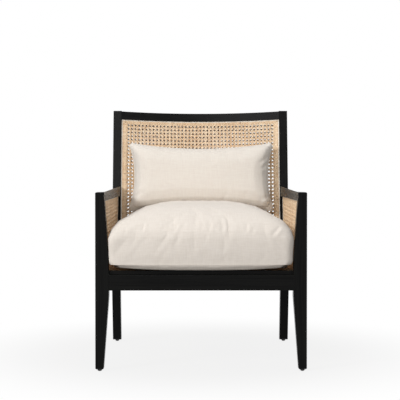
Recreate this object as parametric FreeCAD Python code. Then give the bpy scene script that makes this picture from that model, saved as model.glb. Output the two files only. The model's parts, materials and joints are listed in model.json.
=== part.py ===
import FreeCAD, Part
import math
import os

V = FreeCAD.Vector

# All sizes are in millimetres, all angles in degrees.
# X runs to the sitter's left as seen from the front, Y runs from front to back, Z is up.
# The floor is Z = 0, and the origin lies under the middle of the chair.

# The frame as a whole
front_width = 710.0         # across the outer faces of the front legs
rear_set_in = 16.0          # how much further in a rear post stands than a front leg
arm_height = 602.0          # floor to the inner top edge of an arm
back_height = 895.0         # floor to the top of a post
post_setback = 613.0        # leg's front face to the post's front face at the bend
bend_height = 270.0         # where the rake of the leg meets the recline of the back
bend_radius = 150.0         # eases the bend in the post
back_recline = 11.0         # of the back, from upright
rear_leg_rake = 14.5        # of the rear leg, from upright
back_bow = 44.0             # how far the back's rails bow to the rear at the middle

# Front legs
leg_top_width = 29.5
leg_rail_width = 45.5       # at the seat rail, where the leg is widest
leg_foot_width = 28.0
leg_swell = 1.5             # how far the upper inner edge stands proud of a straight taper
leg_depth = 40.0
leg_foot_depth = 28.0
leg_taper_start = 250.0     # the lower taper starts this high
leg_lap = 10.5              # thickness of the arm where it laps over the leg
foot_height = 7.0           # the wood of each leg ends this high, on its glide
foot_chamfer = 3.0
edge_chamfer = 0.8          # along the edges of legs and posts

# Rear posts
post_width = 32.0
post_top_depth = 33.0
post_bend_depth = 46.0
post_foot_depth = 30.0

# Seat rails
seat_rail_bottom = 272.0
seat_rail_top = 325.0
rail_thickness = 25.0
front_rail_reveal = 1.5     # set back from the legs' front faces
side_rail_reveal = 4.0      # set in from the outer line of the side
front_rail_round = 3.0      # along its upper front edge
rear_rail_inset = 14.0      # behind the posts' front faces, at the rail's foot

# Tenons and their mortises
tenon_thickness = 10.0
tenon_length = 16.0
tenon_shoulder = 6.0
joint_clearance = 0.15
tenon_end_gap = 1.0
stub_tenon_height = 6.0

# Arms
arm_width = 30.0
arm_front_height = 30.0
arm_rear_height = 37.5
arm_front_pitch = 0.8       # the outer top edge lies this much lower over the leg
arm_pitch = 10.0            # and this much lower along the arm
arm_twist_run = 60.0        # the pitch grows over this length behind the leg
arm_edge_round = 4.0

# Back rails
top_rail_height = 31.5
top_rail_drop = 2.0         # below the tops of the posts
lower_rail_height = 35.0
lower_rail_gap = 22.0       # above the seat rails
back_rail_thickness = 28.0

# Cane, its reeds and the ledges that carry them
cane_thickness = 1.2
back_cane_recess = 5.0      # behind the faces of the back's rails
side_cane_recess = 9.0      # behind the inner and outer faces of the arm
ledge_width = 12.0
groove_depth = 4.0
reed_width = 4.0
reed_proud = 0.8
reed_clearance = 0.1

# Corner blocks
block_reach = 45.0
block_thickness = 25.0
block_rise = 4.0            # above the seat rails' lower edges

# Cleats and slats
cleat_width = 18.0
cleat_height = 20.0
cleat_end_gap = 20.0
slat_count = 9
slat_width = 45.0
slat_thickness = 12.0
slat_end_gap = 1.0          # clear of the reeds of the side panels
slat_leg_gap = 5.0
slat_post_gap = 12.0
front_strip_setback = 12.0  # of the strip on the front rail, behind the rail's face
front_strip_gap = 1.0       # between its ends and the legs

# Glides
glide_radius = 8.0
glide_flat_radius = 3.0
glide_rim = 2.5
glide_nail_radius = 1.5
glide_nail_length = 15.0

# Seat cushion
cushion_leg_gap = 0.8       # clear of the front legs, at its widest
cushion_post_gap = 7.0      # clear of the rear posts
cushion_overhang = 18.0     # in front of the legs' front faces
cushion_rear_gap = 4.0      # clear of the lower back rail, at its ends
cushion_height = 212.0      # underside to the top of the crown
cushion_front_bow = 4.0     # how far the front edge bows forwards
cushion_rear_bow = 31.0     # how far the rear edge bows backwards, into the back's bow
cushion_waist = 4.0         # how far the sides are drawn in between the corners
cushion_gap = 0.3           # between a soft piece and what it lies on

# Lumbar pillow
pillow_side_gap = 30.0      # from its corners to the posts
pillow_half_height = 132.5
pillow_half_depth = 58.0
pillow_offset = 3.0         # to the sitter's left of the middle
pillow_gap = 0.6            # clear of the back

# Worked out from the sizes above
half_front = front_width / 2
half_rear = half_front - rear_set_in
half_span = half_rear - post_width
recline = math.radians(back_recline)
rake = math.radians(rear_leg_rake)
arm_join = post_setback + (arm_height - bend_height) * math.tan(recline)
taper = math.atan(rear_set_in / arm_join)
bow_radius = (half_span ** 2 + back_bow ** 2) / (2 * back_bow)
post_top = (back_height - bend_height) / math.cos(recline)
rear_reach = post_setback + post_top * math.sin(recline)
rear_reach += (back_bow + back_rail_thickness) * math.cos(recline)
front_y = -(rear_reach - cushion_overhang) / 2
slat_top = seat_rail_top + slat_thickness
leg_inner = half_front - leg_rail_width
big = 2000.0

pieces = {}


# Small helpers

def face_of(points):
    """A flat face through the given corners."""
    return Part.Face(Part.makePolygon(list(points) + [points[0]]))


def block(x0, x1, y0, y1, z0, z1):
    """A box between two corners."""
    return Part.makeBox(x1 - x0, y1 - y0, z1 - z0, V(x0, y0, z0))


def arc_from(start, direction, end):
    """An arc that leaves start along direction and reaches end."""
    chord = end - start
    lean = direction - chord * (direction.dot(chord) / chord.dot(chord))
    turn = direction.getAngle(chord)
    middle = start + chord * 0.5 + lean.normalize() * (chord.Length / 2 * math.tan(turn / 2))
    return Part.Arc(start, middle, end).toShape()


def mirrored(shape):
    """The same piece on the other side of the chair."""
    return shape.mirror(V(0, 0, 0), V(1, 0, 0))


def clean(shape):
    """Joins faces that a cut or a fuse has split."""
    return shape.removeSplitter()


def keep(name, shape):
    """Stores one finished piece."""
    pieces[name] = shape


def keep_pair(name, shape):
    """Stores the piece on the +X side and its mirror image."""
    keep(name + "_right", shape)
    keep(name + "_left", mirrored(shape))


# The sloping side of the chair has a frame of its own: x is 0 on the outer line and
# negative inwards, y runs back along the arm, z is up.

def on_side(shape):
    """Turns a piece from the side's frame into the chair's, on the +X side."""
    moved = shape.copy()
    moved.rotate(V(0, 0, 0), V(0, 0, 1), math.degrees(taper))
    moved.translate(V(half_front, 0, 0))
    return moved


def side_x(inward, y):
    """The chair's x of a line that lies inward of the outer line, at a given y."""
    return half_front - inward / math.cos(taper) - y * math.tan(taper)


# The reclined back has a frame of its own: x across, y from the front face to the rear, z up
# along the back from the bend.

def on_back(shape):
    """Turns a piece from the back's frame into the chair's."""
    moved = shape.copy()
    moved.rotate(V(0, 0, 0), V(1, 0, 0), -back_recline)
    moved.translate(V(0, post_setback, bend_height))
    return moved


def post_face(z):
    """The y of the posts' front faces at a height above the bend."""
    return post_setback + (z - bend_height) * math.tan(recline)


# Caned panels. An opening is four corners in order. Strips run along its edges between two
# distances inward of them, and are mitred at the corners.

def inset(corners, distance):
    """The corners of an opening, moved inward by a distance from each edge."""
    count = len(corners)
    lines = []
    for i in range(count):
        (ax, az), (bx, bz) = corners[i], corners[(i + 1) % count]
        length = math.hypot(bx - ax, bz - az)
        nx, nz = -(bz - az) / length, (bx - ax) / length
        lines.append((nx, nz, nx * ax + nz * az + distance))
    moved = []
    for i in range(count):
        a1, b1, c1 = lines[i - 1]
        a2, b2, c2 = lines[i]
        det = a1 * b2 - a2 * b1
        moved.append(((c1 * b2 - c2 * b1) / det, (a1 * c2 - a2 * c1) / det))
    return moved


def strip_points(corners, edge, near, far):
    """The corners of the mitred strip along one edge of an opening."""
    outer, inner = inset(corners, near), inset(corners, far)
    after = (edge + 1) % len(corners)
    return [outer[edge], outer[after], inner[after], inner[edge]]


class Panel:
    """A caned opening: ledges, two layers of cane, and reeds in grooves."""

    def __init__(self, corners, slab, first, last):
        self.corners = corners
        self.slab = slab
        self.first = first
        self.last = last

    def ledge(self, edge):
        """The ledge along one edge, with the grooves for both layers cut in it."""
        bite = 1.5
        front = self.first + cane_thickness
        rear = self.last - cane_thickness
        ledge = self.slab(strip_points(self.corners, edge, -bite, ledge_width), front, rear)
        floor = groove_depth + reed_clearance
        edge_of_groove = reed_width + cane_thickness + reed_clearance
        groove = strip_points(self.corners, edge, -2 * bite, edge_of_groove)
        ledge = ledge.cut(self.slab(groove, front - 1, front + floor))
        return ledge.cut(self.slab(groove, rear - floor, rear + 1))

    def cane(self, front_layer):
        """One layer of cane, with its edges turned down into the groove."""
        if front_layer:
            low, high = self.first, self.first + cane_thickness
            lip = (high, high + groove_depth)
        else:
            low, high = self.last - cane_thickness, self.last
            lip = (low - groove_depth, low)
        sheet = self.slab(inset(self.corners, reed_width), low, high)
        for edge in range(4):
            points = strip_points(self.corners, edge, reed_width, reed_width + cane_thickness)
            sheet = sheet.fuse(self.slab(points, *lip))
        return clean(sheet)

    def reeds(self, front_layer):
        """The reed that holds one layer of cane, run round the opening and mitred at the corners."""
        if front_layer:
            low = self.first - reed_proud
            high = self.first + cane_thickness + groove_depth
        else:
            low = self.last - cane_thickness - groove_depth
            high = self.last + reed_proud
        far = reed_width - reed_clearance
        strips = []
        for edge in range(4):
            strips.append(self.slab(strip_points(self.corners, edge, reed_clearance, far), low, high))
        return clean(strips[0].fuse(strips[1:]))


def side_slab(points, near, far):
    """A flat slab of a side panel. Depths are measured inward from the outer line."""
    face = face_of([V(-near, y, z) for y, z in points])
    return on_side(face.extrude(V(near - far, 0, 0)))


def bow_shell(near, far):
    """The bowed shell of the back between two depths behind its front face."""
    centre = V(0, back_bow - bow_radius, -big)
    outer = Part.makeCylinder(bow_radius + far, 2 * big, centre)
    return outer.cut(Part.makeCylinder(bow_radius + near, 2 * big, centre))


def bowed_slab(points, near, far):
    """A piece of the bowed back, cut from its shell by an outline across the back."""
    face = face_of([V(x, -half_span, z) for x, z in points])
    return on_back(face.extrude(V(0, 2 * half_span, 0)).common(bow_shell(near, far)))


def rectangle(x0, x1, z0, z1):
    """The four corners of an upright rectangle."""
    return [(x0, z0), (x1, z0), (x1, z1), (x0, z1)]


# Blanks of the legs and posts, before their joints are cut

def front_leg_blank():
    """A front leg: a front outline and a side outline, both tapered, cut from one block."""
    top = arm_height - leg_lap
    foot_x = half_front - leg_foot_width
    upper_mid_x = half_front - (leg_rail_width + leg_top_width) / 2 - leg_swell
    upper_mid = V(upper_mid_x, 0, (seat_rail_top + top) / 2)
    foot_low = foot_height + foot_chamfer
    outline = [
        Part.LineSegment(
            V(half_front - foot_chamfer, 0, foot_height), V(foot_x + foot_chamfer, 0, foot_height)
        ),
        Part.LineSegment(V(foot_x + foot_chamfer, 0, foot_height), V(foot_x, 0, foot_low)),
        Part.LineSegment(V(foot_x, 0, foot_low), V(leg_inner, 0, leg_taper_start)),
        Part.LineSegment(V(leg_inner, 0, leg_taper_start), V(leg_inner, 0, seat_rail_top)),
        Part.Arc(V(leg_inner, 0, seat_rail_top), upper_mid, V(half_front - leg_top_width, 0, top)),
        Part.LineSegment(V(half_front - leg_top_width, 0, top), V(half_front, 0, top)),
        Part.LineSegment(V(half_front, 0, top), V(half_front, 0, foot_low)),
        Part.LineSegment(V(half_front, 0, foot_low), V(half_front - foot_chamfer, 0, foot_height)),
    ]
    front = Part.Face(Part.Wire([edge.toShape() for edge in outline])).extrude(V(0, leg_depth, 0))
    side = face_of([
        V(0, foot_chamfer, foot_height),
        V(0, leg_foot_depth - foot_chamfer, foot_height),
        V(0, leg_foot_depth, foot_low),
        V(0, leg_depth, leg_taper_start),
        V(0, leg_depth, top),
        V(0, 0, top),
        V(0, 0, foot_low),
    ]).extrude(V(half_front + 1, 0, 0))
    return front.common(side)


def post_outline():
    """A rear post from the side: raked leg, eased bend and reclined upright in one outline."""
    run = bend_radius * math.tan((recline + rake) / 2)
    down = V(0, math.sin(rake), -math.cos(rake))
    up = V(0, math.sin(recline), math.cos(recline))
    bend = V(0, post_setback, bend_height)
    foot_y = post_setback + (bend_height - foot_height) * math.tan(rake)
    rear_bend = bend + V(0, post_bend_depth, 0)
    top = bend + up * post_top
    top_rear = top + V(0, math.cos(recline), -math.sin(recline)) * post_top_depth
    foot_rear = V(0, foot_y + post_foot_depth, foot_height)
    foot_front = V(0, foot_y, foot_height)
    rear_up = (top_rear - rear_bend).normalize()
    rear_down = (foot_rear - rear_bend).normalize()
    edges = [
        Part.makeLine(foot_front + V(0, foot_chamfer, 0), foot_front - down * foot_chamfer),
        Part.makeLine(foot_front - down * foot_chamfer, bend + down * run),
        arc_from(bend + down * run, down * -1, bend + up * run),
        Part.makeLine(bend + up * run, top),
        Part.makeLine(top, top_rear),
        Part.makeLine(top_rear, rear_bend + rear_up * run),
        arc_from(rear_bend + rear_up * run, rear_up * -1, rear_bend + rear_down * run),
        Part.makeLine(rear_bend + rear_down * run, foot_rear - rear_down * foot_chamfer),
        Part.makeLine(foot_rear - rear_down * foot_chamfer, foot_rear - V(0, foot_chamfer, 0)),
        Part.makeLine(foot_rear - V(0, foot_chamfer, 0), foot_front + V(0, foot_chamfer, 0)),
    ]
    return Part.Face(Part.Wire(edges))


def eased_leg(shape):
    """Chamfers the leg's long front edges and its outer rear edge."""
    edges = []
    for edge in shape.Edges:
        middle = edge.CenterOfMass
        if edge.Length > leg_rail_width + 1 and (middle.y < 1 or middle.x > half_front - 1):
            edges.append(edge)
    return shape.makeChamfer(edge_chamfer, edges)


def eased_post(shape):
    """Chamfers the post's long edges."""
    edges = [edge for edge in shape.Edges if edge.Length > post_width + 1 and edge.BoundBox.XLength < 1]
    long_edges = [edge for edge in edges if edge.BoundBox.ZLength > post_width]
    return shape.makeChamfer(edge_chamfer, long_edges)


def tenon_box(x0, x1, y0, y1, z0, z1, play):
    """A tenon, or with play its mortise."""
    return block(x0 - play, x1 + play, y0 - play, y1 + play, z0 - play, z1 + play)


leg = front_leg_blank()
post = post_outline().extrude(V(post_width, 0, 0))
post.translate(V(half_span, 0, 0))
post_band = post_outline().extrude(V(front_width, 0, 0))
arm_rear_bottom = arm_height - arm_rear_height
leg_back = (leg_depth + arm_width * math.sin(taper)) / math.cos(taper)

side_opening = [
    (leg_back, seat_rail_top),
    (post_face(seat_rail_top) / math.cos(taper), seat_rail_top),
    (post_face(arm_rear_bottom) / math.cos(taper), arm_rear_bottom),
    (leg_back, arm_height - arm_front_height),
]
side_panel = Panel(side_opening, side_slab, side_cane_recess, arm_width - side_cane_recess)

top_rail_top = post_top - top_rail_drop
top_rail_bottom = top_rail_top - top_rail_height
lower_rail_bottom = (seat_rail_top + lower_rail_gap - bend_height) / math.cos(recline)
lower_rail_top = lower_rail_bottom + lower_rail_height
back_opening = rectangle(-half_span, half_span, lower_rail_top, top_rail_bottom)
back_panel = Panel(
    back_opening, bowed_slab, back_cane_recess, back_rail_thickness - back_cane_recess
)


# Arm

def arm_section(y, pitch, height):
    """The outline across an arm: a flat inner face and a top that falls outwards."""
    bottom = arm_height - height
    slope = math.atan(pitch / arm_width)
    corner = V(0, y, arm_height - pitch)
    along = V(-math.cos(slope), 0, math.sin(slope))
    run = arm_edge_round * math.tan((math.pi / 2 - slope) / 2)
    start, end = corner + along * run, corner - V(0, 0, run)
    return Part.Wire([
        Part.makeLine(V(-arm_width, y, bottom), V(-arm_width, y, arm_height)),
        Part.makeLine(V(-arm_width, y, arm_height), start),
        arc_from(start, along * -1, end),
        Part.makeLine(end, V(0, y, bottom)),
        Part.makeLine(V(0, y, bottom), V(-arm_width, y, bottom)),
    ])


def build_arm():
    """An arm, lapped over the leg, pitched outwards behind it and scribed to the post."""
    past_post = arm_join + post_top_depth
    fall = (arm_rear_height - arm_front_height) / (arm_join - leg_depth)
    twist_end = leg_depth + arm_twist_run
    sections = [
        arm_section(0, arm_front_pitch, arm_front_height),
        arm_section(leg_depth, arm_front_pitch, arm_front_height),
        arm_section(twist_end, arm_pitch, arm_front_height + fall * arm_twist_run),
        arm_section(past_post, arm_pitch, arm_front_height + fall * (past_post - leg_depth)),
    ]
    arm = on_side(Part.makeLoft(sections, True, True))
    shoulder = arm_height - leg_lap
    arm = arm.cut(block(0, half_front + 1, -1, leg_depth, 0, shoulder))
    arm = arm.cut(block(0, half_front + 1, -arm_width, 0, 0, big))
    arm = arm.cut(post_band)
    behind = block(0, half_front, arm_join + post_top_depth / 2, arm_join + 4 * post_top_depth, 0, big)
    arm = arm.cut(behind)
    return arm


def arm_tenon(play):
    """The tenon that joins the arm to the post, in the side's direction."""
    middle = arm_width / 2
    low = arm_rear_bottom + tenon_shoulder
    high = arm_height - arm_pitch - tenon_shoulder
    start = post_face(low) - tenon_length / 2
    end = post_face(low) + tenon_length + (tenon_end_gap if play else 0)
    half = tenon_thickness / 2
    return on_side(tenon_box(-middle - half, -middle + half, start, end, low, high, play))


def leg_stub(play):
    """The stub tenon on the leg's top."""
    edge = 7.0
    top = arm_height - leg_lap
    high = top + stub_tenon_height + (tenon_end_gap if play else 0)
    x0 = half_front - leg_top_width + edge
    return tenon_box(x0, half_front - edge, edge, leg_depth - edge, top - 1, high, play)


# Seat rails

def front_rail_tenon(play):
    """The front rail's tenon in the +X leg."""
    middle = front_rail_reveal + rail_thickness / 2
    end = leg_inner + tenon_length + (tenon_end_gap if play else 0)
    low, high = seat_rail_bottom + tenon_shoulder, seat_rail_top - tenon_shoulder
    half = tenon_thickness / 2
    return tenon_box(leg_inner - 1, end, middle - half, middle + half, low, high, play)


def side_rail_tenons(play):
    """The side rail's tenons, in the leg and in the post."""
    middle = side_rail_reveal + rail_thickness / 2
    extra = tenon_end_gap if play else 0
    half = tenon_thickness / 2
    low, high = seat_rail_bottom + tenon_shoulder, seat_rail_top - tenon_shoulder
    start = leg_depth - tenon_length - extra
    end = post_setback + tenon_length + extra
    return on_side(tenon_box(-middle - half, -middle + half, start, end, low, high, play))


def rear_rail_tenon(play):
    """The rear rail's tenon in the +X post."""
    middle = post_setback + rear_rail_inset + rail_thickness / 2 + tenon_thickness / 2
    end = half_span + tenon_length + (tenon_end_gap if play else 0)
    low, high = seat_rail_bottom + tenon_shoulder, seat_rail_top - tenon_shoulder
    half = tenon_thickness / 2
    return tenon_box(half_span - 1, end, middle - half, middle + half, low, high, play)


def back_rail_tenon(low, high, play):
    """The tenon of a bowed rail in the +X post."""
    reach = bow_radius + back_rail_thickness / 2
    middle = back_bow - bow_radius + math.sqrt(reach ** 2 - half_span ** 2)
    end = half_span + tenon_length + (tenon_end_gap if play else 0)
    half = tenon_thickness / 2
    start = half_span - tenon_thickness
    low, high = low + tenon_shoulder, high - tenon_shoulder
    return on_back(tenon_box(start, end, middle - half, middle + half, low, high, play))


def build_side_rail():
    """A side seat rail between the leg and the post, square to the floor."""
    outer, inner = side_rail_reveal, side_rail_reveal + rail_thickness
    past_post = post_setback + post_bend_depth / 2
    rail = on_side(block(-inner, -outer, 0, past_post, seat_rail_bottom, seat_rail_top))
    rail = rail.cut(block(0, half_front + 1, -1, leg_depth, 0, big))
    return rail.cut(post_band)


arm = build_arm()
side_rail = build_side_rail()
top_outline = rectangle(-half_span, half_span, top_rail_bottom, top_rail_top)
top_rail = bowed_slab(top_outline, 0, back_rail_thickness)
lower_outline = rectangle(-half_span, half_span, lower_rail_bottom, lower_rail_top)
lower_rail = bowed_slab(lower_outline, 0, back_rail_thickness)

front_rail = block(
    -leg_inner,
    leg_inner,
    front_rail_reveal,
    front_rail_reveal + rail_thickness,
    seat_rail_bottom,
    seat_rail_top,
)
for edge in front_rail.Edges:
    middle = edge.CenterOfMass
    if middle.y < front_rail_reveal + 1 and middle.z > seat_rail_top - 1:
        front_rail = front_rail.makeFillet(front_rail_round, [edge])
        break
front_tenon = front_rail_tenon(0)
keep("front_seat_rail", clean(front_rail.fuse([front_tenon, mirrored(front_tenon)])))

rear_rail_y = post_setback + rear_rail_inset
rear_rail = block(
    -half_span, half_span, rear_rail_y, rear_rail_y + rail_thickness, seat_rail_bottom, seat_rail_top
)
rear_tenon = rear_rail_tenon(0)
keep("rear_seat_rail", clean(rear_rail.fuse([rear_tenon, mirrored(rear_tenon)])))

side_ledge = side_panel.ledge(0).cut(leg).cut(post)
keep_pair("side_seat_rail", clean(side_rail.fuse([side_rail_tenons(0), side_ledge])))

arm_ledge = side_panel.ledge(2).cut(leg).cut(post)
keep_pair("arm", clean(arm.cut(leg_stub(joint_clearance)).fuse([arm_tenon(0), arm_ledge])))

leg_mortises = [front_rail_tenon(joint_clearance), side_rail_tenons(joint_clearance)]
leg_ledge = side_panel.ledge(3).cut(arm).cut(side_rail)
front_leg = eased_leg(leg).cut(leg_mortises).fuse([leg_stub(0), leg_ledge])

post_mortises = [
    arm_tenon(joint_clearance),
    side_rail_tenons(joint_clearance),
    rear_rail_tenon(joint_clearance),
    back_rail_tenon(top_rail_bottom, top_rail_top, joint_clearance),
    back_rail_tenon(lower_rail_bottom, lower_rail_top, joint_clearance),
]
post_side_ledge = side_panel.ledge(1).cut(arm).cut(side_rail)
post_back_ledge = back_panel.ledge(1).cut(top_rail).cut(lower_rail)
rear_post = eased_post(post).cut(post_mortises).fuse([post_side_ledge, post_back_ledge])

both_posts = [post, mirrored(post)]
for name, rail, low, high, edge in (
    ("back_top_rail", top_rail, top_rail_bottom, top_rail_top, 2),
    ("back_lower_rail", lower_rail, lower_rail_bottom, lower_rail_top, 0),
):
    tenon = back_rail_tenon(low, high, 0)
    ledge = back_panel.ledge(edge).cut(both_posts)
    keep(name, clean(rail.fuse([ledge, tenon, mirrored(tenon)])))

# The caned panels

keep("back_cane_front", back_panel.cane(True))
keep("back_cane_rear", back_panel.cane(False))
keep("back_reeds_front", back_panel.reeds(True))
keep("back_reeds_rear", back_panel.reeds(False))
keep_pair("side_cane_outer", side_panel.cane(True))
keep_pair("side_cane_inner", side_panel.cane(False))
keep_pair("side_reeds_outer", side_panel.reeds(True))
keep_pair("side_reeds_inner", side_panel.reeds(False))


# Glides and the holes for their nails

def glide(y):
    """A domed glide under a foot that ends at foot_height, with its nail up in the wood."""
    x = half_front - leg_foot_width / 2 if y < post_setback else half_rear - post_width / 2
    rim = foot_height - glide_rim
    nail_top = foot_height + glide_nail_length
    middle = V((glide_radius + glide_flat_radius) * 0.56, 0, rim * 0.34)
    edges = [
        Part.makeLine(V(0, 0, 0), V(glide_flat_radius, 0, 0)),
        Part.Arc(V(glide_flat_radius, 0, 0), middle, V(glide_radius, 0, rim)).toShape(),
        Part.makeLine(V(glide_radius, 0, rim), V(glide_radius, 0, foot_height)),
        Part.makeLine(V(glide_radius, 0, foot_height), V(glide_nail_radius, 0, foot_height)),
        Part.makeLine(V(glide_nail_radius, 0, foot_height), V(glide_nail_radius, 0, nail_top)),
        Part.makeLine(V(glide_nail_radius, 0, nail_top), V(0, 0, nail_top)),
        Part.makeLine(V(0, 0, nail_top), V(0, 0, 0)),
    ]
    shape = Part.Face(Part.Wire(edges)).revolve(V(0, 0, 0), V(0, 0, 1), 360)
    hole = Part.makeCylinder(
        glide_nail_radius + joint_clearance, glide_nail_length + tenon_end_gap, V(x, y, foot_height)
    )
    shape.translate(V(x, y, 0))
    return shape, hole


foot_y = post_setback + (bend_height - foot_height) * math.tan(rake)
front_glide, front_hole = glide(leg_foot_depth / 2)
rear_glide, rear_hole = glide(foot_y + post_foot_depth / 2)
keep("glides", Part.makeCompound([front_glide, mirrored(front_glide), rear_glide, mirrored(rear_glide)]))
keep_pair("front_leg", clean(front_leg.cut(front_hole)))
keep_pair("rear_post", clean(rear_post.cut(rear_hole)))


# Corner blocks, notched round the legs and posts

def corner_block(points):
    """A corner block from its outline in plan."""
    low = seat_rail_bottom + block_rise
    return face_of([V(x, y, low) for x, y in points]).extrude(V(0, 0, block_thickness))


rail_inner = side_rail_reveal + rail_thickness
front_rail_back = front_rail_reveal + rail_thickness
front_block = corner_block([
    (leg_inner - block_reach, front_rail_back),
    (leg_inner, front_rail_back),
    (leg_inner, leg_depth),
    (side_x(rail_inner, leg_depth), leg_depth),
    (side_x(rail_inner, leg_depth + block_reach), leg_depth + block_reach),
])
rear_block = corner_block([
    (half_span - block_reach, rear_rail_y),
    (side_x(rail_inner, post_setback - block_reach), post_setback - block_reach),
    (side_x(rail_inner, post_setback), post_setback),
    (half_span, post_setback),
    (half_span, rear_rail_y),
])
blocks = [front_block, rear_block, mirrored(front_block), mirrored(rear_block)]
keep("corner_blocks", Part.makeCompound(blocks))

# Cleats and the slats that lie across them

keep_pair("slat_cleat", on_side(block(
    -rail_inner - cleat_width,
    -rail_inner,
    leg_back + cleat_end_gap,
    post_setback - cleat_end_gap,
    seat_rail_top - cleat_height,
    seat_rail_top,
)))

slats = []
slat_inward = arm_width - side_cane_recess + reed_proud + slat_end_gap
first_slat = leg_depth + slat_leg_gap
last_slat = post_setback - slat_post_gap - slat_width
for i in range(slat_count):
    y0 = first_slat + (last_slat - first_slat) * i / (slat_count - 1)
    y1 = y0 + slat_width
    x0, x1 = side_x(slat_inward, y0), side_x(slat_inward, y1)
    outline = face_of([
        V(-x0, y0, seat_rail_top),
        V(x0, y0, seat_rail_top),
        V(x1, y1, seat_rail_top),
        V(-x1, y1, seat_rail_top),
    ])
    slats.append(outline.extrude(V(0, 0, slat_thickness)))
keep("seat_slats", Part.makeCompound(slats))

# The stained strip that lies on the front rail between the legs and closes the seat's front edge
strip_reach = leg_inner - front_strip_gap
strip_front = front_rail_reveal + front_strip_setback
keep("front_seat_strip", block(
    -strip_reach, strip_reach, strip_front, leg_depth, seat_rail_top, seat_rail_top + slat_thickness
))


# Soft pieces

def soft_wire(corners, bulges, radius, place):
    """A closed outline with rounded corners, whose sides bow out, or in, by the bulges."""
    count = len(corners)
    edges = []
    for i in range(count):
        a, b, c = corners[i], corners[(i + 1) % count], corners[(i + 2) % count]
        share = 1 - 2 * radius / (b - a).Length
        along, onward = (b - a).normalize(), (c - b).normalize()
        out = V(along.y, -along.x, 0)
        start, end = a + along * radius, b - along * radius
        middle = (start + end) * 0.5 + out * (bulges[i] * share ** 2)
        corner = b + (onward - along) * (radius * (1 - math.sqrt(0.5)))
        edges.append(Part.Arc(place(start), place(middle), place(end)).toShape())
        edges.append(Part.Arc(place(end), place(corner), place(b + onward * radius)).toShape())
    return Part.Wire(edges)


def leg_inside(z):
    """The x of a front leg's inner edge, taken on the chords of its curve."""
    top = arm_height - leg_lap
    middle = (seat_rail_top + top) / 2
    middle_x = half_front - (leg_rail_width + leg_top_width) / 2 - leg_swell
    if z < middle:
        return leg_inner + (middle_x - leg_inner) * (z - seat_rail_top) / (middle - seat_rail_top)
    return middle_x + (half_front - leg_top_width - middle_x) * (z - middle) / (top - middle)


def cushion_wire(share, inset, rear_inset, radius):
    """The seat cushion's outline at a share of its height."""
    z = slat_top + cushion_gap + share * cushion_height
    rear_half = half_span - cushion_post_gap
    front = inset - cushion_overhang
    rail_face = post_setback + (slat_top - bend_height) * math.tan(recline)
    rear = rail_face - cushion_rear_gap - rear_inset
    half_back, half_fore = rear_half - inset, leg_inside(z) - cushion_leg_gap - inset
    corners = [
        V(-half_fore, front, 0),
        V(half_fore, front, 0),
        V(half_back, rear, 0),
        V(-half_back, rear, 0),
    ]
    rear_bulge = cushion_rear_bow * half_back / rear_half
    bulges = [cushion_front_bow, -cushion_waist, rear_bulge, -cushion_waist]
    return soft_wire(corners, bulges, radius, lambda p: V(p.x, p.y, z))


# Each level of the cushion: share of its height, inset, inset at the rear, corner radius
cushion_levels = (
    (0.0, 14.0, 10.0, 30.0),
    (0.09, 0.5, 0.5, 30.0),
    (0.52, 0.5, 0.5, 32.0),
    (0.65, 10.0, 1.0, 36.0),
    (0.78, 36.0, 3.0, 44.0),
    (0.91, 94.0, 9.0, 58.0),
    (0.968, 146.0, 18.0, 66.0),
    (1.0, 212.0, 36.0, 76.0),
)
keep("seat_cushion", Part.makeLoft([cushion_wire(*level) for level in cushion_levels], True, True))


def pillow_wire(depth, inset, radius, bulge):
    """The pillow's outline at a distance from its seam."""
    half_x, half_z = half_span - pillow_side_gap - inset, pillow_half_height - inset
    corners = [V(-half_x, -half_z, 0), V(half_x, -half_z, 0), V(half_x, half_z, 0), V(-half_x, half_z, 0)]
    return soft_wire(corners, [bulge] * 4, radius, lambda p: V(p.x, depth, p.y))


# Each level of the pillow, from its seam out: share of its half depth, inset, corner radius, bulge
pillow_levels = (
    (0.0, 0.0, 12.0, -24.0),
    (0.4, 8.5, 13.0, -22.5),
    (0.78, 30.0, 14.0, -19.0),
    (1.0, 68.0, 15.0, -15.0),
)
pillow_wires = []
for share, inset, radius, bulge in reversed(pillow_levels[1:]):
    pillow_wires.append(pillow_wire(-pillow_half_depth * share, inset, radius, bulge))
for share, inset, radius, bulge in pillow_levels:
    pillow_wires.append(pillow_wire(pillow_half_depth * share, inset, radius, bulge))
pillow = Part.makeLoft(pillow_wires, True, True)
pillow.translate(V(pillow_offset, -pillow_half_depth, top_rail_bottom - pillow_half_height))
pillow = on_back(pillow)


def let_towards(shape, direction, others, gap):
    """Moves a shape along a direction until it is a gap away from the others."""
    target = Part.makeCompound(others)
    moved = shape.copy()
    for _ in range(40):
        distance = moved.distToShape(target)[0] - gap
        if distance < 0.02:
            break
        moved.translate(direction * distance)
    return moved


behind = V(0, math.cos(recline), -math.sin(recline))
down_back = V(0, -math.sin(recline), -math.cos(recline))
pillow = let_towards(pillow, behind, [pieces["back_cane_front"], pieces["back_top_rail"]], pillow_gap)
pillow = let_towards(pillow, down_back, [pieces["seat_cushion"]], cushion_gap)
keep("lumbar_pillow", pillow)

# Files

os.makedirs("parts", exist_ok=True)
for name, shape in pieces.items():
    moved = shape.copy()
    moved.translate(V(0, front_y, 0))
    moved.exportStep("parts/" + name + ".step")
    box = moved.BoundBox
    print(name, moved.isValid(), len(moved.Solids), round(moved.Volume / 1000, 1),
          [round(v, 1) for v in (box.XMin, box.XMax, box.YMin, box.YMax, box.ZMin, box.ZMax)])
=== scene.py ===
"""Rattan armchair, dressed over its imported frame.

A dark stained hardwood chair. Its back and sides are caned in two layers, and a crowned linen
seat cushion and a lumbar pillow lie loose in it. Sizes are in metres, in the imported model's
frame: +Z is up and the front faces -Y.
"""

import json
import logging
import math
from dataclasses import dataclass, field
from enum import Enum
from typing import Callable, Iterable, Optional

import bpy
import numpy as np
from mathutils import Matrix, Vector
from mathutils.bvhtree import BVHTree

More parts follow.
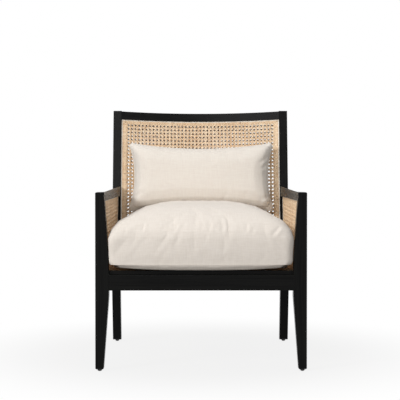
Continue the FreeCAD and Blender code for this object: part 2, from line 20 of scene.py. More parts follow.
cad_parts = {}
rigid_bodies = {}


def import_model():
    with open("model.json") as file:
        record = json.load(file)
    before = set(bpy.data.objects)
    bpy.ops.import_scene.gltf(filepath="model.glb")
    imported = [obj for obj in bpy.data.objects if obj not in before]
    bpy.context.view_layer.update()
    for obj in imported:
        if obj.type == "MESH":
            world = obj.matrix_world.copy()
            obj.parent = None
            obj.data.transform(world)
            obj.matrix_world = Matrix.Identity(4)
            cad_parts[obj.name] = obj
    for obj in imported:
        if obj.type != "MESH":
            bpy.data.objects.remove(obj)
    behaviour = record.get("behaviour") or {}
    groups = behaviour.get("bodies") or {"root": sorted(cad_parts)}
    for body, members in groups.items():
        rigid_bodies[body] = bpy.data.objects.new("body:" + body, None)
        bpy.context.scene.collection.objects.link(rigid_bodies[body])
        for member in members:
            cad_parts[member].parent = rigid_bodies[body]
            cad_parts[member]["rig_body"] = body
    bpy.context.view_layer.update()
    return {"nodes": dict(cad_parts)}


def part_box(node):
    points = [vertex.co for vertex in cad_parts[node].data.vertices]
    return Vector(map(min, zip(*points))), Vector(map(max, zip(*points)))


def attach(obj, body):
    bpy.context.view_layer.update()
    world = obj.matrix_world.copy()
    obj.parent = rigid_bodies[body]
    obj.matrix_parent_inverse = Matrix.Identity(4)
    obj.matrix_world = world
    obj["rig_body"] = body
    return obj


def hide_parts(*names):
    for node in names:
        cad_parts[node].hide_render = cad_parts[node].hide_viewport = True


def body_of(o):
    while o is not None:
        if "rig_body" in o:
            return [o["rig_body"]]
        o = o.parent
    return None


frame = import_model()

log = logging.getLogger("armchair")

Outline = list[tuple[float, float]]
Numbers = np.ndarray | float
Place = Callable[[np.ndarray], np.ndarray]
Spots = list[tuple[Vector, Vector]]

MM = 0.001
TINY = 1e-9
FAR = 10.0
FRAME_BODY = "chair_frame"
SEAT_BODY = "seat_cushion_body"
PILLOW_BODY = "lumbar_pillow_body"

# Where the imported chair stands: the y of its front legs' faces, half its width there, how much
# its sides close in towards the rear, how far its back leans, and its seat seam's height
FRONT_Y = -393.582 * MM
HALF_FRONT = 355 * MM
SIDE_TAPER = math.radians(1.353)
RECLINE = math.radians(11)
SEAT_SEAM = 361 * MM


# Small helpers

def linear(colour: str) -> tuple[float, float, float, float]:
    """Turns an sRGB hex colour into linear light.

    Args:
        colour: the colour as "#rrggbb".

    Returns:
        Linear red, green and blue, and 1 for alpha.
    """
    parts = []
    for start in (1, 3, 5):
        value = int(colour[start:start + 2], 16) / 255
        parts.append(value / 12.92 if value <= 0.04045 else ((value + 0.055) / 1.055) ** 2.4)
    return parts[0], parts[1], parts[2], 1.0


def add_node(
    tree: bpy.types.NodeTree,
    kind: str,
    inputs: Optional[dict] = None,
    stops: Iterable[tuple[float, str]] = (),
    **settings,
) -> bpy.types.Node:
    """Adds a shader node with its settings, values and links.

    Args:
        tree: the node tree that it goes in.
        kind: the node's type, such as "ShaderNodeTexNoise".
        inputs: for each socket, by name or number, a value or the output to link to it.
        stops: on a colour ramp, the place of each end from 0 to 1, and its sRGB colour.
        **settings: properties of the node.

    Returns:
        The node.
    """
    node = tree.nodes.new(kind)
    for name, value in settings.items():
        setattr(node, name, value)
    for socket, value in (inputs or {}).items():
        if isinstance(value, bpy.types.NodeSocket):
            tree.links.new(value, node.inputs[socket])
        else:
            node.inputs[socket].default_value = value
    for number, (place, colour) in enumerate(stops):
        node.color_ramp.elements[number].position = place
        node.color_ramp.elements[number].color = linear(colour)
    return node


def blank_material(name: str) -> tuple[bpy.types.Material, bpy.types.NodeTree, bpy.types.NodeSocket]:
    """Makes a material that has no shader yet.

    Args:
        name: the material's name.

    Returns:
        The material, its node tree, and the piece's own coordinates in it.
    """
    material = bpy.data.materials.new(name)
    material.use_nodes = True
    tree = material.node_tree
    tree.nodes.clear()
    return material, tree, add_node(tree, "ShaderNodeTexCoord").outputs["Object"]


def add_surface(
    material: bpy.types.Material,
    inputs: dict,
    height: Optional[bpy.types.NodeSocket] = None,
    depth: float = 0.0,
    strength: float = 1.0,
) -> bpy.types.Material:
    """Ends a material's nodes in one Principled shader.

    Args:
        material: the material.
        inputs: the shader's sockets, as for add_node.
        height: the output that raises its relief, if it has one.
        depth: how deep the relief is.
        strength: how much of it shows, from 0 to 1.

    Returns:
        The same material.
    """
    if height is not None:
        relief = {"Height": height, "Distance": depth, "Strength": strength}
        inputs["Normal"] = add_node(material.node_tree, "ShaderNodeBump", relief).outputs["Normal"]
    shader = add_node(material.node_tree, "ShaderNodeBsdfPrincipled", inputs)
    add_node(material.node_tree, "ShaderNodeOutputMaterial", {"Surface": shader.outputs["BSDF"]})
    return material


def tube_faces(rings: int, around: int, closed: bool = False) -> np.ndarray:
    """Joins rings of points, one after another, into a tube.

    Args:
        rings: how many there are.
        around: how many points each has.
        closed: whether the last is joined to the first.

    Returns:
        An (n, 4) array of indices.
    """
    first = around * np.arange(rings if closed else rings - 1)[:, None]
    onward = (first + around) % (rings * around)
    step = np.arange(around)[None, :]
    after = (step + 1) % around
    return np.stack([first + step, first + after, onward + after, onward + step], axis=2).reshape(-1, 4)


def mesh_object(
    name: str, points: np.ndarray, quads: np.ndarray, material: bpy.types.Material,
) -> bpy.types.Object:
    """Makes a smooth-shaded mesh object from points and four-sided faces.

    Args:
        name: the object's name.
        points: an (n, 3) array.
        quads: an (m, 4) array of indices.
        material: its material.

    Returns:
        The object, linked into the scene.
    """
    mesh = bpy.data.meshes.new(name)
    mesh.vertices.add(len(points))
    mesh.vertices.foreach_set("co", points.astype(np.float32).ravel())
    mesh.loops.add(quads.size)
    mesh.loops.foreach_set("vertex_index", quads.astype(np.int32).ravel())
    mesh.polygons.add(len(quads))
    mesh.polygons.foreach_set("loop_start", np.arange(0, quads.size, 4, dtype=np.int32))
    mesh.update(calc_edges=True)
    mesh.shade_smooth()
    mesh.materials.append(material)
    thing = bpy.data.objects.new(name, mesh)
    bpy.context.scene.collection.objects.link(thing)
    return thing


def read_vectors(items: bpy.types.bpy_prop_collection, name: str) -> np.ndarray:
    """Reads a vector from each item of a mesh's collection.

    Args:
        items: the collection.
        name: the vector's name in an item.

    Returns:
        An (n, 3) array.
    """
    values = np.empty(len(items) * 3, np.float32)
    items.foreach_get(name, values)
    return values.reshape(-1, 3).astype(float)


def read_points(mesh: bpy.types.Mesh) -> np.ndarray:
    """The mesh's vertices as an (n, 3) array."""
    return read_vectors(mesh.vertices, "co")


def read_normals(mesh: bpy.types.Mesh) -> np.ndarray:
    """The mesh's vertex normals as an (n, 3) array."""
    return read_vectors(mesh.vertex_normals, "vector")


def write_points(mesh: bpy.types.Mesh, points: np.ndarray) -> None:
    """Moves the mesh's vertices to new places."""
    mesh.vertices.foreach_set("co", points.astype(np.float32).ravel())
    mesh.update()


def apply_modifier(piece: bpy.types.Object, kind: str, **settings) -> None:
    """Adds a modifier and makes its result the mesh.

    Args:
        piece: the object.
        kind: the modifier's type, such as "REMESH".
        **settings: properties of the modifier.
    """
    modifier = piece.modifiers.new(kind.lower(), kind)
    for name, value in settings.items():
        setattr(modifier, name, value)
    bpy.context.view_layer.update()
    made = bpy.data.meshes.new_from_object(piece.evaluated_get(bpy.context.evaluated_depsgraph_get()))
    old = piece.data
    piece.modifiers.clear()
    piece.data = made
    bpy.data.meshes.remove(old)


def surface_of(mesh: bpy.types.Mesh) -> BVHTree:
    """A tree that finds places on the mesh's faces."""
    faces = [face.vertices for face in mesh.polygons]
    return BVHTree.FromPolygons([vertex.co for vertex in mesh.vertices], faces)


def nearest_on(bounds: BVHTree, point: np.ndarray) -> tuple[Vector, Vector, float]:
    """Finds the place on a solid that is nearest to a point.

    Args:
        bounds: the solid.
        point: the point.

    Returns:
        The place, the way that the solid faces there, and how far the point stands out of it.
    """
    near, normal, _, _ = bounds.find_nearest(Vector(point))
    return near, normal, (Vector(point) - near).dot(normal)


def neighbour_mean(mesh: bpy.types.Mesh, values: np.ndarray) -> np.ndarray:
    """Each vertex's mean of a value over the vertices that it has an edge to.

    Args:
        mesh: the mesh.
        values: one number for each vertex.

    Returns:
        The means.
    """
    ends = np.empty(len(mesh.edges) * 2, np.int32)
    mesh.edges.foreach_get("vertices", ends)
    first, second = ends[0::2], ends[1::2]
    total = np.bincount(first, values[second], len(values)) + np.bincount(second, values[first], len(values))
    return total / np.bincount(ends, minlength=len(values))


def smooth(value: np.ndarray) -> np.ndarray:
    """Eases from 0 to 1 over that range, and is level beyond it."""
    held = np.clip(value, 0, 1)
    return held * held * (3 - 2 * held)


def bump_of(value: np.ndarray, centre: float, width: float) -> np.ndarray:
    """A bell curve of height 1."""
    return np.exp(-0.5 * ((value - centre) / width) ** 2)


# Finishes

class Grain(Enum):
    """The way that a board's grain runs, as the stretch of its noise along X, Y and Z."""

    ACROSS = (0.04, 1.0, 1.0)
    FORE_AND_AFT = (1.0, 0.04, 1.0)
    UPRIGHT = (1.0, 1.0, 0.04)


@dataclass(frozen=True)
class StainedOak:
    """Oak stained near black and sprayed with a satin lacquer.

    The stain leaves the grain just readable, and the open pores show as fine dark dashes in a soft sheen.
    """

    grain: Grain
    dark: str = "#080808"
    light: str = "#141413"
    figure: float = 8.8 * MM
    pore: float = 1.8 * MM
    pore_depth: float = 0.10 * MM
    roughness: float = 0.28
    roughness_spread: float = 0.07
    specular: float = 0.07

    def material(self) -> bpy.types.Material:
        """Builds the material, with the grain along the board.

        Returns:
            The material.
        """
        material, tree, place = blank_material(f"stained_oak_{self.grain.name.lower()}")
        turned = add_node(tree, "ShaderNodeMapping", {"Vector": place, "Scale": self.grain.value})
        along = turned.outputs["Vector"]
        figure = add_node(tree, "ShaderNodeTexNoise", {
            "Vector": along, "Scale": 1 / self.figure, "Detail": 6.0, "Roughness": 0.62, "Distortion": 0.4,
        }).outputs["Fac"]
        pores = add_node(tree, "ShaderNodeTexNoise", {"Vector": along, "Scale": 1 / self.pore, "Detail": 2.0})
        colour = add_node(tree, "ShaderNodeValToRGB", {"Fac": figure}, ((0.3, self.dark), (0.72, self.light)))
        pits = add_node(tree, "ShaderNodeMapRange", {
            "Value": pores.outputs["Fac"], "From Min": 0.36, "From Max": 0.46,
        })
        gloss = add_node(tree, "ShaderNodeMapRange", {
            "Value": figure,
            "To Min": self.roughness - self.roughness_spread,
            "To Max": self.roughness + self.roughness_spread,
        })
        return add_surface(material, {
            "Base Color": colour.outputs["Color"], "Roughness": gloss.outputs["Result"],
            "Specular IOR Level": self.specular,
        }, height=pits.outputs["Result"], depth=self.pore_depth, strength=0.5)


@dataclass(frozen=True)
class SawnBeech:
    """Beech, sawn, sanded and left bare, as hidden seat parts are.

    It is pale and matt, with short darker flecks along the grain.
    """

    grain: Grain
    dark: str = "#b58a5f"
    light: str = "#d6b48b"
    fleck: str = "#94693f"
    figure: float = 12 * MM
    fleck_size: float = 3.0 * MM
    depth: float = 0.2 * MM
    roughness: float = 0.68

    def material(self) -> bpy.types.Material:
        """Builds the material, with the grain along the board.

        Returns:
            The material.
        """
        material, tree, place = blank_material(f"sawn_beech_{self.grain.name.lower()}")
        turned = add_node(tree, "ShaderNodeMapping", {"Vector": place, "Scale": self.grain.value})
        along = turned.outputs["Vector"]
        figure = add_node(tree, "ShaderNodeTexNoise", {
            "Vector": along, "Scale": 1 / self.figure, "Detail": 5.0, "Roughness": 0.6,
        }).outputs["Fac"]
        flecks = add_node(tree, "ShaderNodeTexNoise", {
            "Vector": along, "Scale": 1 / self.fleck_size, "Detail": 1.0,
        })
        board = add_node(tree, "ShaderNodeValToRGB", {"Fac": figure}, ((0.32, self.dark), (0.68, self.light)))
        where = add_node(tree, "ShaderNodeMapRange", {
            "Value": flecks.outputs["Fac"], "From Min": 0.64, "From Max": 0.70, "To Max": 0.6,
        })
        mixed = add_node(tree, "ShaderNodeMix", {
            0: where.outputs["Result"], 6: board.outputs["Color"], 7: linear(self.fleck),
        }, data_type="RGBA")
        return add_surface(material, {
            "Base Color": mixed.outputs[2], "Roughness": self.roughness,
        }, height=figure, depth=self.depth, strength=0.3)


@dataclass(frozen=True)
class SplitCane:
    """The skin of rattan, split into flat strands and woven.

    Each strand has its own tone, a hard waxy shine outside, and darker leaf scars here and there.
    Its split side is fibrous and dull, and its brown is painted darker than real pith, as shade on what shows
    through the holes.
    """

    name: str
    pale: str
    deep: str
    roughness: float
    scar: str = "#936a40"
    tone_name: str = "strand_tone"
    drift: float = 26.32 * MM
    scar_size: float = 6.667 * MM
    fibre: float = 0.6667 * MM
    fibre_depth: float = 0.05 * MM

    def material(self) -> bpy.types.Material:
        """Builds the material, which reads each strand's own tone.

        Returns:
            The material.
        """
        material, tree, place = blank_material(self.name)
        tone = add_node(tree, "ShaderNodeAttribute", attribute_type="GEOMETRY", attribute_name=self.tone_name)
        drift = add_node(tree, "ShaderNodeTexNoise", {"Vector": place, "Scale": 1 / self.drift, "Detail": 3.0})
        both = add_node(tree, "ShaderNodeMath", {
            0: tone.outputs["Fac"], 1: drift.outputs["Fac"],
        }, operation="ADD")
        half = add_node(tree, "ShaderNodeMath", {0: both.outputs[0], 1: 0.5}, operation="MULTIPLY")
        skin = add_node(
            tree, "ShaderNodeValToRGB", {"Fac": half.outputs[0]}, ((0.2, self.deep), (0.75, self.pale)),
        )
        scars = add_node(tree, "ShaderNodeTexNoise", {
            "Vector": place, "Scale": 1 / self.scar_size, "Detail": 0.0,
        })
        where = add_node(tree, "ShaderNodeMapRange", {
            "Value": scars.outputs["Fac"], "From Min": 0.70, "From Max": 0.78, "To Max": 0.7,
        })
        mixed = add_node(tree, "ShaderNodeMix", {
            0: where.outputs["Result"], 6: skin.outputs["Color"], 7: linear(self.scar),
        }, data_type="RGBA")
        fibres = add_node(tree, "ShaderNodeTexNoise", {"Vector": place, "Scale": 1 / self.fibre, "Detail": 1.0})
        return add_surface(material, {
            "Base Color": mixed.outputs[2], "Roughness": self.roughness,
        }, height=fibres.outputs["Fac"], depth=self.fibre_depth, strength=0.4)


def cane_materials() -> tuple[bpy.types.Material, bpy.types.Material]:
    """Makes the two finishes of a strand.

    Returns:
        The cane's waxy skin, and its dull split side in a darker brown that paints shade into the holes.
    """
    skin = SplitCane("split_cane_skin", pale="#fae3c2", deep="#e0b98f", roughness=0.46)
    # The split side's browns are darker than real pith: painted shade on the rear layer seen through the front
    # layer's holes.
    split = SplitCane("split_cane_inside_painted_shade", pale="#b98d5e", deep="#8f6336", roughness=0.75)
    return skin.material(), split.material()


@dataclass(frozen=True)
class ReedSpline:
    """Core reed, the inside of rattan, pressed wet into the groove.

    It is paler and drier than the cane, with pores that run along it.
    """

    pale: str = "#fcf5ea"
    deep: str = "#ecdcc6"
    cloud: float = 16.67 * MM
    pore: float = 1.111 * MM
    pore_depth: float = 0.1 * MM
    roughness: float = 0.6

    def material(self) -> bpy.types.Material:
        """Builds the material.

        Returns:
            The material.
        """
        material, tree, place = blank_material("reed_spline")
        clouds = add_node(tree, "ShaderNodeTexNoise", {
            "Vector": place, "Scale": 1 / self.cloud, "Detail": 4.0, "Roughness": 0.65,
        })
        colour = add_node(
            tree, "ShaderNodeValToRGB", {"Fac": clouds.outputs["Fac"]}, ((0.3, self.deep), (0.62, self.pale)),
        )
        pores = add_node(tree, "ShaderNodeTexNoise", {"Vector": place, "Scale": 1 / self.pore, "Detail": 1.0})
        return add_surface(material, {
            "Base Color": colour.outputs["Color"], "Roughness": self.roughness,
        }, height=pores.outputs["Fac"], depth=self.pore_depth, strength=0.5)


@dataclass(frozen=True)
class WashedLinen:
    """Undyed linen in a plain weave, washed soft.

    Threads of uneven thickness give it slubs both ways and a dry, slightly fuzzy surface. The real
    threads are 0.6 mm apart, too fine to show, so the weave is drawn at 1.8 mm.
    """

    name: str
    # These defaults are the seat's linen, darker than the pillow's: painted shade that dims the seat.
    pale: str = "#e4dcd3"
    deep: str = "#ddd4ca"
    thread: float = 1.8 * MM
    slub: float = 3.125 * MM
    depth: float = 0.13 * MM
    roughness: float = 0.9
    specular: float = 0.25
    fuzz: float = 0.12
    fuzz_roughness: float = 0.5

    def material(self) -> bpy.types.Material:
        """Builds the material, with threads along X and across it.

        Returns:
            The material.
        """
        material, tree, place = blank_material(f"washed_linen_{self.name}")
        # A wave texture of scale 1 has a band every pi / 10
        warp, upright, deep = [
            add_node(tree, "ShaderNodeTexWave", {
                "Vector": place, "Scale": math.pi / 10 / self.thread,
                "Distortion": 1.2, "Detail": 2.0, "Detail Scale": 1.5,
            }, bands_direction=axis).outputs["Fac"]
            for axis in "XZY"
        ]
        weft = add_node(tree, "ShaderNodeMath", {0: upright, 1: deep}, operation="MULTIPLY")
        weave = add_node(tree, "ShaderNodeMath", {0: warp, 1: weft.outputs[0]}, operation="ADD")
        slubs_across, slubs_up = [
            add_node(tree, "ShaderNodeTexNoise", {
                "Vector": stretched.outputs["Vector"], "Scale": 1 / self.slub, "Detail": 2.0,
            }).outputs["Fac"]
            for stretched in (
                add_node(tree, "ShaderNodeMapping", {"Vector": place, "Scale": stretch})
                for stretch in ((0.08, 1.0, 1.0), (1.0, 0.1, 0.1))
            )
        ]
        slubs = add_node(tree, "ShaderNodeMath", {0: slubs_across, 1: slubs_up}, operation="ADD")
        tone = add_node(tree, "ShaderNodeMath", {0: slubs.outputs[0], 1: 0.5}, operation="MULTIPLY")
        colour = add_node(
            tree, "ShaderNodeValToRGB", {"Fac": tone.outputs[0]}, ((0.34, self.deep), (0.62, self.pale)),
        )
        height = add_node(tree, "ShaderNodeMath", {0: weave.outputs[0], 1: slubs.outputs[0]}, operation="ADD")
        return add_surface(material, {
            "Base Color": colour.outputs["Color"], "Roughness": self.roughness,
            "Specular IOR Level": self.specular, "Sheen Weight": self.fuzz,
            "Sheen Roughness": self.fuzz_roughness,
        }, height=height.outputs[0], depth=self.depth, strength=0.22)


@dataclass(frozen=True)
class MouldedNylon:
    """Injection-moulded black nylon, with the fine spark-eroded texture of its mould."""

    dark: str = "#1c1c1b"
    light: str = "#2a2a28"
    grit: float = 0.4 * MM
    grit_depth: float = 0.05 * MM
    roughness: float = 0.5

    def material(self) -> bpy.types.Material:
        """Builds the material.

        Returns:
            The material.
        """
        material, tree, place = blank_material("moulded_nylon")
        grit = add_node(tree, "ShaderNodeTexNoise", {
            "Vector": place, "Scale": 1 / self.grit, "Detail": 1.0,
        }).outputs["Fac"]
        colour = add_node(tree, "ShaderNodeValToRGB", {"Fac": grit}, ((0.3, self.dark), (0.8, self.light)))
        return add_surface(material, {
            "Base Color": colour.outputs["Color"], "Roughness": self.roughness,
        }, height=grit, depth=self.grit_depth, strength=0.5)


@dataclass(frozen=True)
class ZincPlatedSteel:
    """Cold-formed steel screws with a passivated zinc plating, bright and a little yellow in places."""

    pale: str = "#c9c7bd"
    deep: str = "#a7a08a"
    film: float = 2.5 * MM
    roughness: float = 0.34

    def material(self) -> bpy.types.Material:
        """Builds the material.

        Returns:
            The material.
        """
        material, tree, place = blank_material("zinc_plated_steel")
        film = add_node(tree, "ShaderNodeTexNoise", {"Vector": place, "Scale": 1 / self.film, "Detail": 2.0})
        colour = add_node(
            tree, "ShaderNodeValToRGB", {"Fac": film.outputs["Fac"]}, ((0.35, self.deep), (0.65, self.pale)),
        )
        return add_surface(material, {
            "Base Color": colour.outputs["Color"], "Metallic": 1.0, "Roughness": self.roughness,
        })


# Caned panels

@dataclass
class Strands:
    """Strands of cane, gathered into one mesh.

    A strand has a flat back and a domed outer skin. Paths are given as across, up and out, where
    out is towards the side that the skin faces.
    """

    draw: np.random.Generator
    section: tuple = ((-0.5, -0.5), (-0.28, 0.5), (0.28, 0.5), (0.5, -0.5))
    rings: list = field(default_factory=list)
    quads: list = field(default_factory=list)
    tones: list = field(default_factory=list)
    sides: list = field(default_factory=list)
    count: int = 0

    def add(self, path: np.ndarray, width: float, thickness: float) -> None:
        """Adds one strand, in a tone of its own.

        Args:
            path: an (n, 3) array of its centre line.
            width: across the strand.
            thickness: through it.
        """
        tone = self.draw.random()
        if len(path) < 2:
            return
        run = np.gradient(path[:, :2], axis=0)
        run /= np.linalg.norm(run, axis=1, keepdims=True)
        side = np.stack([-run[:, 1], run[:, 0]], axis=1)
        ring = np.empty((len(path), 4, 3))
        for corner, (over, out) in enumerate(self.section):
            ring[:, corner, :2] = path[:, :2] + side * (over * width)
            ring[:, corner, 2] = path[:, 2] + out * thickness
        last = 4 * (len(path) - 1)
        ends = [[3, 2, 1, 0], [last, last + 1, last + 2, last + 3]]
        self.quads.append(self.count + np.concatenate([tube_faces(len(path), 4), ends]))
        self.rings.append(ring.reshape(-1, 3))
        self.tones.append(np.full(4 * len(path), tone))
        self.sides.append(np.append(np.tile([0, 0, 0, 1], len(path) - 1), [1, 1]))
        self.count += 4 * len(path)

    def build(self, name: str, place: Place, materials: tuple, flip: bool) -> bpy.types.Object:
        """Makes the mesh.

        Args:
            name: the object's name.
            place: turns panel coordinates into the chair's.
            materials: the cane's skin and its split side.
            flip: turn the faces over, where the placing mirrors them.

        Returns:
            The object.
        """
        quads = np.concatenate(self.quads)
        if flip:
            quads = quads[:, ::-1]
        thing = mesh_object(name, place(np.concatenate(self.rings)), quads, materials[0])
        thing.data.materials.append(materials[1])
        thing.data.polygons.foreach_set("material_index", np.concatenate(self.sides).astype(np.int32))
        tone = thing.data.attributes.new(SplitCane.tone_name, "FLOAT", "POINT")
        tone.data.foreach_set("value", np.concatenate(self.tones).astype(np.float32))
        return thing


def inset(corners: Outline, distances: Iterable[float]) -> Outline:
    """Moves the sides of a convex outline inward.

    Args:
        corners: anticlockwise.
        distances: how far each side moves, in order.

    Returns:
        The new corners.
    """
    lines = []
    for (ax, ay), (bx, by), distance in zip(corners, corners[1:] + corners[:1], distances):
        length = math.hypot(bx - ax, by - ay)
        nx, ny = -(by - ay) / length, (bx - ax) / length
        lines.append((nx, ny, nx * ax + ny * ay + distance))
    moved = []
    for (ax, ay, a), (bx, by, b) in zip(lines[-1:] + lines[:-1], lines):
        det = ax * by - bx * ay
        moved.append(((a * by - b * ay) / det, (ax * b - bx * a) / det))
    return moved


def span_inside(corners: Outline, start: np.ndarray, run: np.ndarray) -> Optional[tuple[float, float]]:
    """Where a straight line lies inside a convex outline.

    Args:
        corners: anticlockwise.
        start: a point of the line.
        run: its direction.

    Returns:
        The first and last distance along it, or None where it misses.
    """
    low, high = -FAR, FAR
    for (ax, ay), (bx, by) in zip(corners, corners[1:] + corners[:1]):
        nx, ny = -(by - ay), bx - ax
        away = nx * (start[0] - ax) + ny * (start[1] - ay)
        rate = nx * run[0] + ny * run[1]
        if abs(rate) < TINY:
            if away < 0:
                return None
        elif rate > 0:
            low = max(low, -away / rate)
        else:
            high = min(high, -away / rate)
    return (low, high) if high - low > 1 * MM else None


def path_from(
    start: np.ndarray, run: np.ndarray, along: Numbers, inward: Numbers, heights: np.ndarray,
) -> np.ndarray:
    """Sets points out from a line of the panel.

    Args:
        start: a point of the line.
        run: its direction.
        along: how far each point is along it.
        inward: how far each point is to the left of it.
        heights: how high each point is.

    Returns:
        An (n, 3) array of across, up and out.
    """
    left = np.array([-run[1], run[0]])
    return np.column_stack([start + np.outer(along, run) + np.outer(inward, left), heights])


@dataclass
class CaneWeave:
    """The six-way weave of cane webbing, with a closely woven border where it meets the reed.

    Pairs of strands run up and across, and single diagonals pass both ways through them, which
    leaves an eight-sided hole in every cell.
    """

    corners: Outline
    pitch: tuple[float, float]
    origin: tuple[float, float]
    seed: int
    border: tuple = (18 * MM, 18 * MM, 18 * MM, 18 * MM)
    pair: float = 1.85 * MM
    strand_width: float = 2.5 * MM
    diagonal_width: float = 2.9 * MM
    thickness: float = 0.55 * MM
    lift: float = 0.28 * MM
    diagonal_lift: float = 0.55 * MM
    border_pitch: float = 3.1 * MM
    border_width: float = 2.7 * MM
    border_fill: float = 0.9
    overlap: float = 2.0 * MM
    end_gap: float = 0.4 * MM

    def build(self, node: str, place: Place, materials: tuple, flip: bool) -> list[bpy.types.Object]:
        """Weaves the webbing in the place of its CAD sheet.

        Args:
            node: the sheet's node.
            place: turns panel coordinates into the chair's.
            materials: the cane's skin and its split side.
            flip: turn the faces over, where the placing mirrors them.

        Returns:
            The open part and the border.
        """
        made = []
        for part, gathered in (("open", self.open_part()), ("border", self.border_part())):
            piece = gathered.build(f"{node}_{part}_weave", place, materials, flip)
            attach(piece, FRAME_BODY)
            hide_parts(node)
            made.append(piece)
        return made

    def open_part(self) -> Strands:
        """Weaves the open pattern, which runs a little way under the border.

        Returns:
            Its strands.
        """
        gathered = Strands(np.random.default_rng(self.seed))
        area = inset(self.corners, [side - self.overlap for side in self.border])
        for own in (0, 1):
            self.straight(gathered, area, own)
        for slope in (1, -1):
            self.diagonal(gathered, area, slope)
        return gathered

    def straight(self, gathered: Strands, area: Outline, own: int) -> None:
        """Adds the pairs that run up, or across.

        Args:
            gathered: takes the strands.
            area: the outline that they fill.
            own: 0 for those that run up, side by side across, and 1 for the others.
        """
        other = 1 - own
        reach = [(corner[own] - self.origin[own]) / self.pitch[own] for corner in area]
        run = np.zeros(2)
        run[other] = 1.0
        over = self.lift * (1 - 2 * own)
        for cell in range(math.floor(min(reach)), math.ceil(max(reach)) + 1):
            for side in (-1, 1):
                start = np.zeros(2)
                start[own] = self.origin[own] + cell * self.pitch[own] + side * self.pair
                span = span_inside(area, start, run)
                if span is None:
                    continue
                low, high = ((end - self.origin[other]) / self.pitch[other] for end in span)
                places, heights = [], []
                for row in range(math.floor(low) - 1, math.ceil(high) + 2):
                    middle = self.origin[other] + row * self.pitch[other]
                    places += [middle - self.pair, middle + self.pair, middle + self.pitch[other] / 2]
                    heights += [-over * side, over * side, 0.0]
                self.lay(gathered, start, run, span, np.array(places), np.array(heights), self.strand_width)

    def diagonal(self, gathered: Strands, area: Outline, slope: int) -> None:
        """Adds the diagonals of one slope.

        Args:
            gathered: takes the strands.
            area: the outline that they fill.
            slope: 1 where they rise to the right, and -1 where they fall.
        """
        across, up = self.pitch
        run = np.array([across, slope * up])
        run = run / np.linalg.norm(run)
        step = across / 2 / run[0]
        turns = [(x - self.origin[0]) / across - slope * (y - self.origin[1]) / up for x, y in area]
        for line in range(math.floor(min(turns)), math.ceil(max(turns)) + 1):
            start = np.array([self.origin[0] + (line + 0.5) * across, self.origin[1]])
            span = span_inside(area, start, run)
            if span is None:
                continue
            places = np.arange(math.floor(span[0] / step) - 1, math.ceil(span[1] / step) + 2) * step
            cells = (start[0] + places * run[0] - self.origin[0]) / across
            heights = slope * self.diagonal_lift * np.cos(2 * math.pi * cells)
            self.lay(gathered, start, run, span, places, heights, self.diagonal_width)

    def lay(
        self,
        gathered: Strands,
        start: np.ndarray,
        run: np.ndarray,
        span: tuple[float, float],
        places: np.ndarray,
        heights: np.ndarray,
        width: float,
    ) -> None:
        """Lays one strand between its ends, over and under what it crosses.

        Args:
            gathered: takes the strand.
            start: a point of its line.
            run: its direction.
            span: the distances of its ends along the line.
            places: the distances where its height is set.
            heights: the heights there.
            width: the strand's width.
        """
        order = np.argsort(places)
        places, heights = places[order], heights[order]
        inside = places[(places > span[0] + self.end_gap) & (places < span[1] - self.end_gap)]
        along = np.concatenate([[span[0]], inside, [span[1]]])
        path = path_from(start, run, along, 0.0, np.interp(along, places, heights))
        gathered.add(path, width, self.thickness)

    def border_part(self) -> Strands:
        """Weaves the close border, where short strands cross long ones along each side.

        Returns:
            Its strands.
        """
        gathered = Strands(np.random.default_rng(self.seed + 1))
        for side, width in enumerate(self.border):
            rows = max(2, round(width / self.border_pitch))
            start, end = (np.array(self.corners[(side + more) % len(self.corners)]) for more in (0, 1))
            run = (end - start) / np.linalg.norm(end - start)
            self.long_strands(gathered, side, rows, start, run)
            self.short_strands(gathered, side, rows, start, end, run)
        return gathered

    def long_strands(
        self, gathered: Strands, side: int, rows: int, start: np.ndarray, run: np.ndarray,
    ) -> None:
        """Lays the strands that run along one side of the border.

        Args:
            gathered: takes the strands.
            side: the side's number.
            rows: how many strands there are.
            start: the side's first corner.
            run: its direction.
        """
        spacing = self.border[side] / rows
        for row in range(rows):
            ring = inset(self.corners, [(row + 0.5) / rows * edge for edge in self.border])
            begin, end = np.array(ring[side]), np.array(ring[(side + 1) % len(ring)])
            first = math.ceil(((begin - start) @ run) / self.border_pitch)
            last = math.floor(((end - start) @ run) / self.border_pitch)
            steps = np.arange(first, last + 1)
            heights = np.where((steps + row) % 2 == 0, self.lift, -self.lift)
            path = path_from(start, run, steps * self.border_pitch, (row + 0.5) * spacing, heights)
            if np.linalg.norm(end - begin) > 2 * self.border_pitch:
                gathered.add(path, min(self.border_width, spacing * self.border_fill), self.thickness)

    def short_strands(
        self, gathered: Strands, side: int, rows: int, start: np.ndarray, end: np.ndarray, run: np.ndarray,
    ) -> None:
        """Lays the strands that cross one side of the border, cut off at its mitres.

        Args:
            gathered: takes the strands.
            side: the side's number.
            rows: how many long strands they cross.
            start: the side's first corner.
            end: its last corner.
            run: its direction.
        """
        width, inner = self.border[side], inset(self.corners, self.border)
        length = np.linalg.norm(end - start)
        shift_in = (np.array(inner[side]) - start) @ run
        shift_out = (np.array(inner[(side + 1) % len(inner)]) - end) @ run
        for step in range(1, math.floor(length / self.border_pitch)):
            at, reach = step * self.border_pitch, width
            if shift_in > 0:
                reach = min(reach, width * at / shift_in)
            if shift_out < 0:
                reach = min(reach, width * (length - at) / -shift_out)
            stops = [stop for stop in (np.arange(rows) + 0.5) * (width / rows) if stop < reach]
            if stops:
                signs = [-1.0 if (step + row) % 2 == 0 else 1.0 for row in range(len(stops))]
                heights = self.lift * np.array([0.0, *signs, 0.0])
                path = path_from(start, run, at, np.array([0.0, *stops, reach]), heights)
                gathered.add(path, self.border_width, self.thickness)


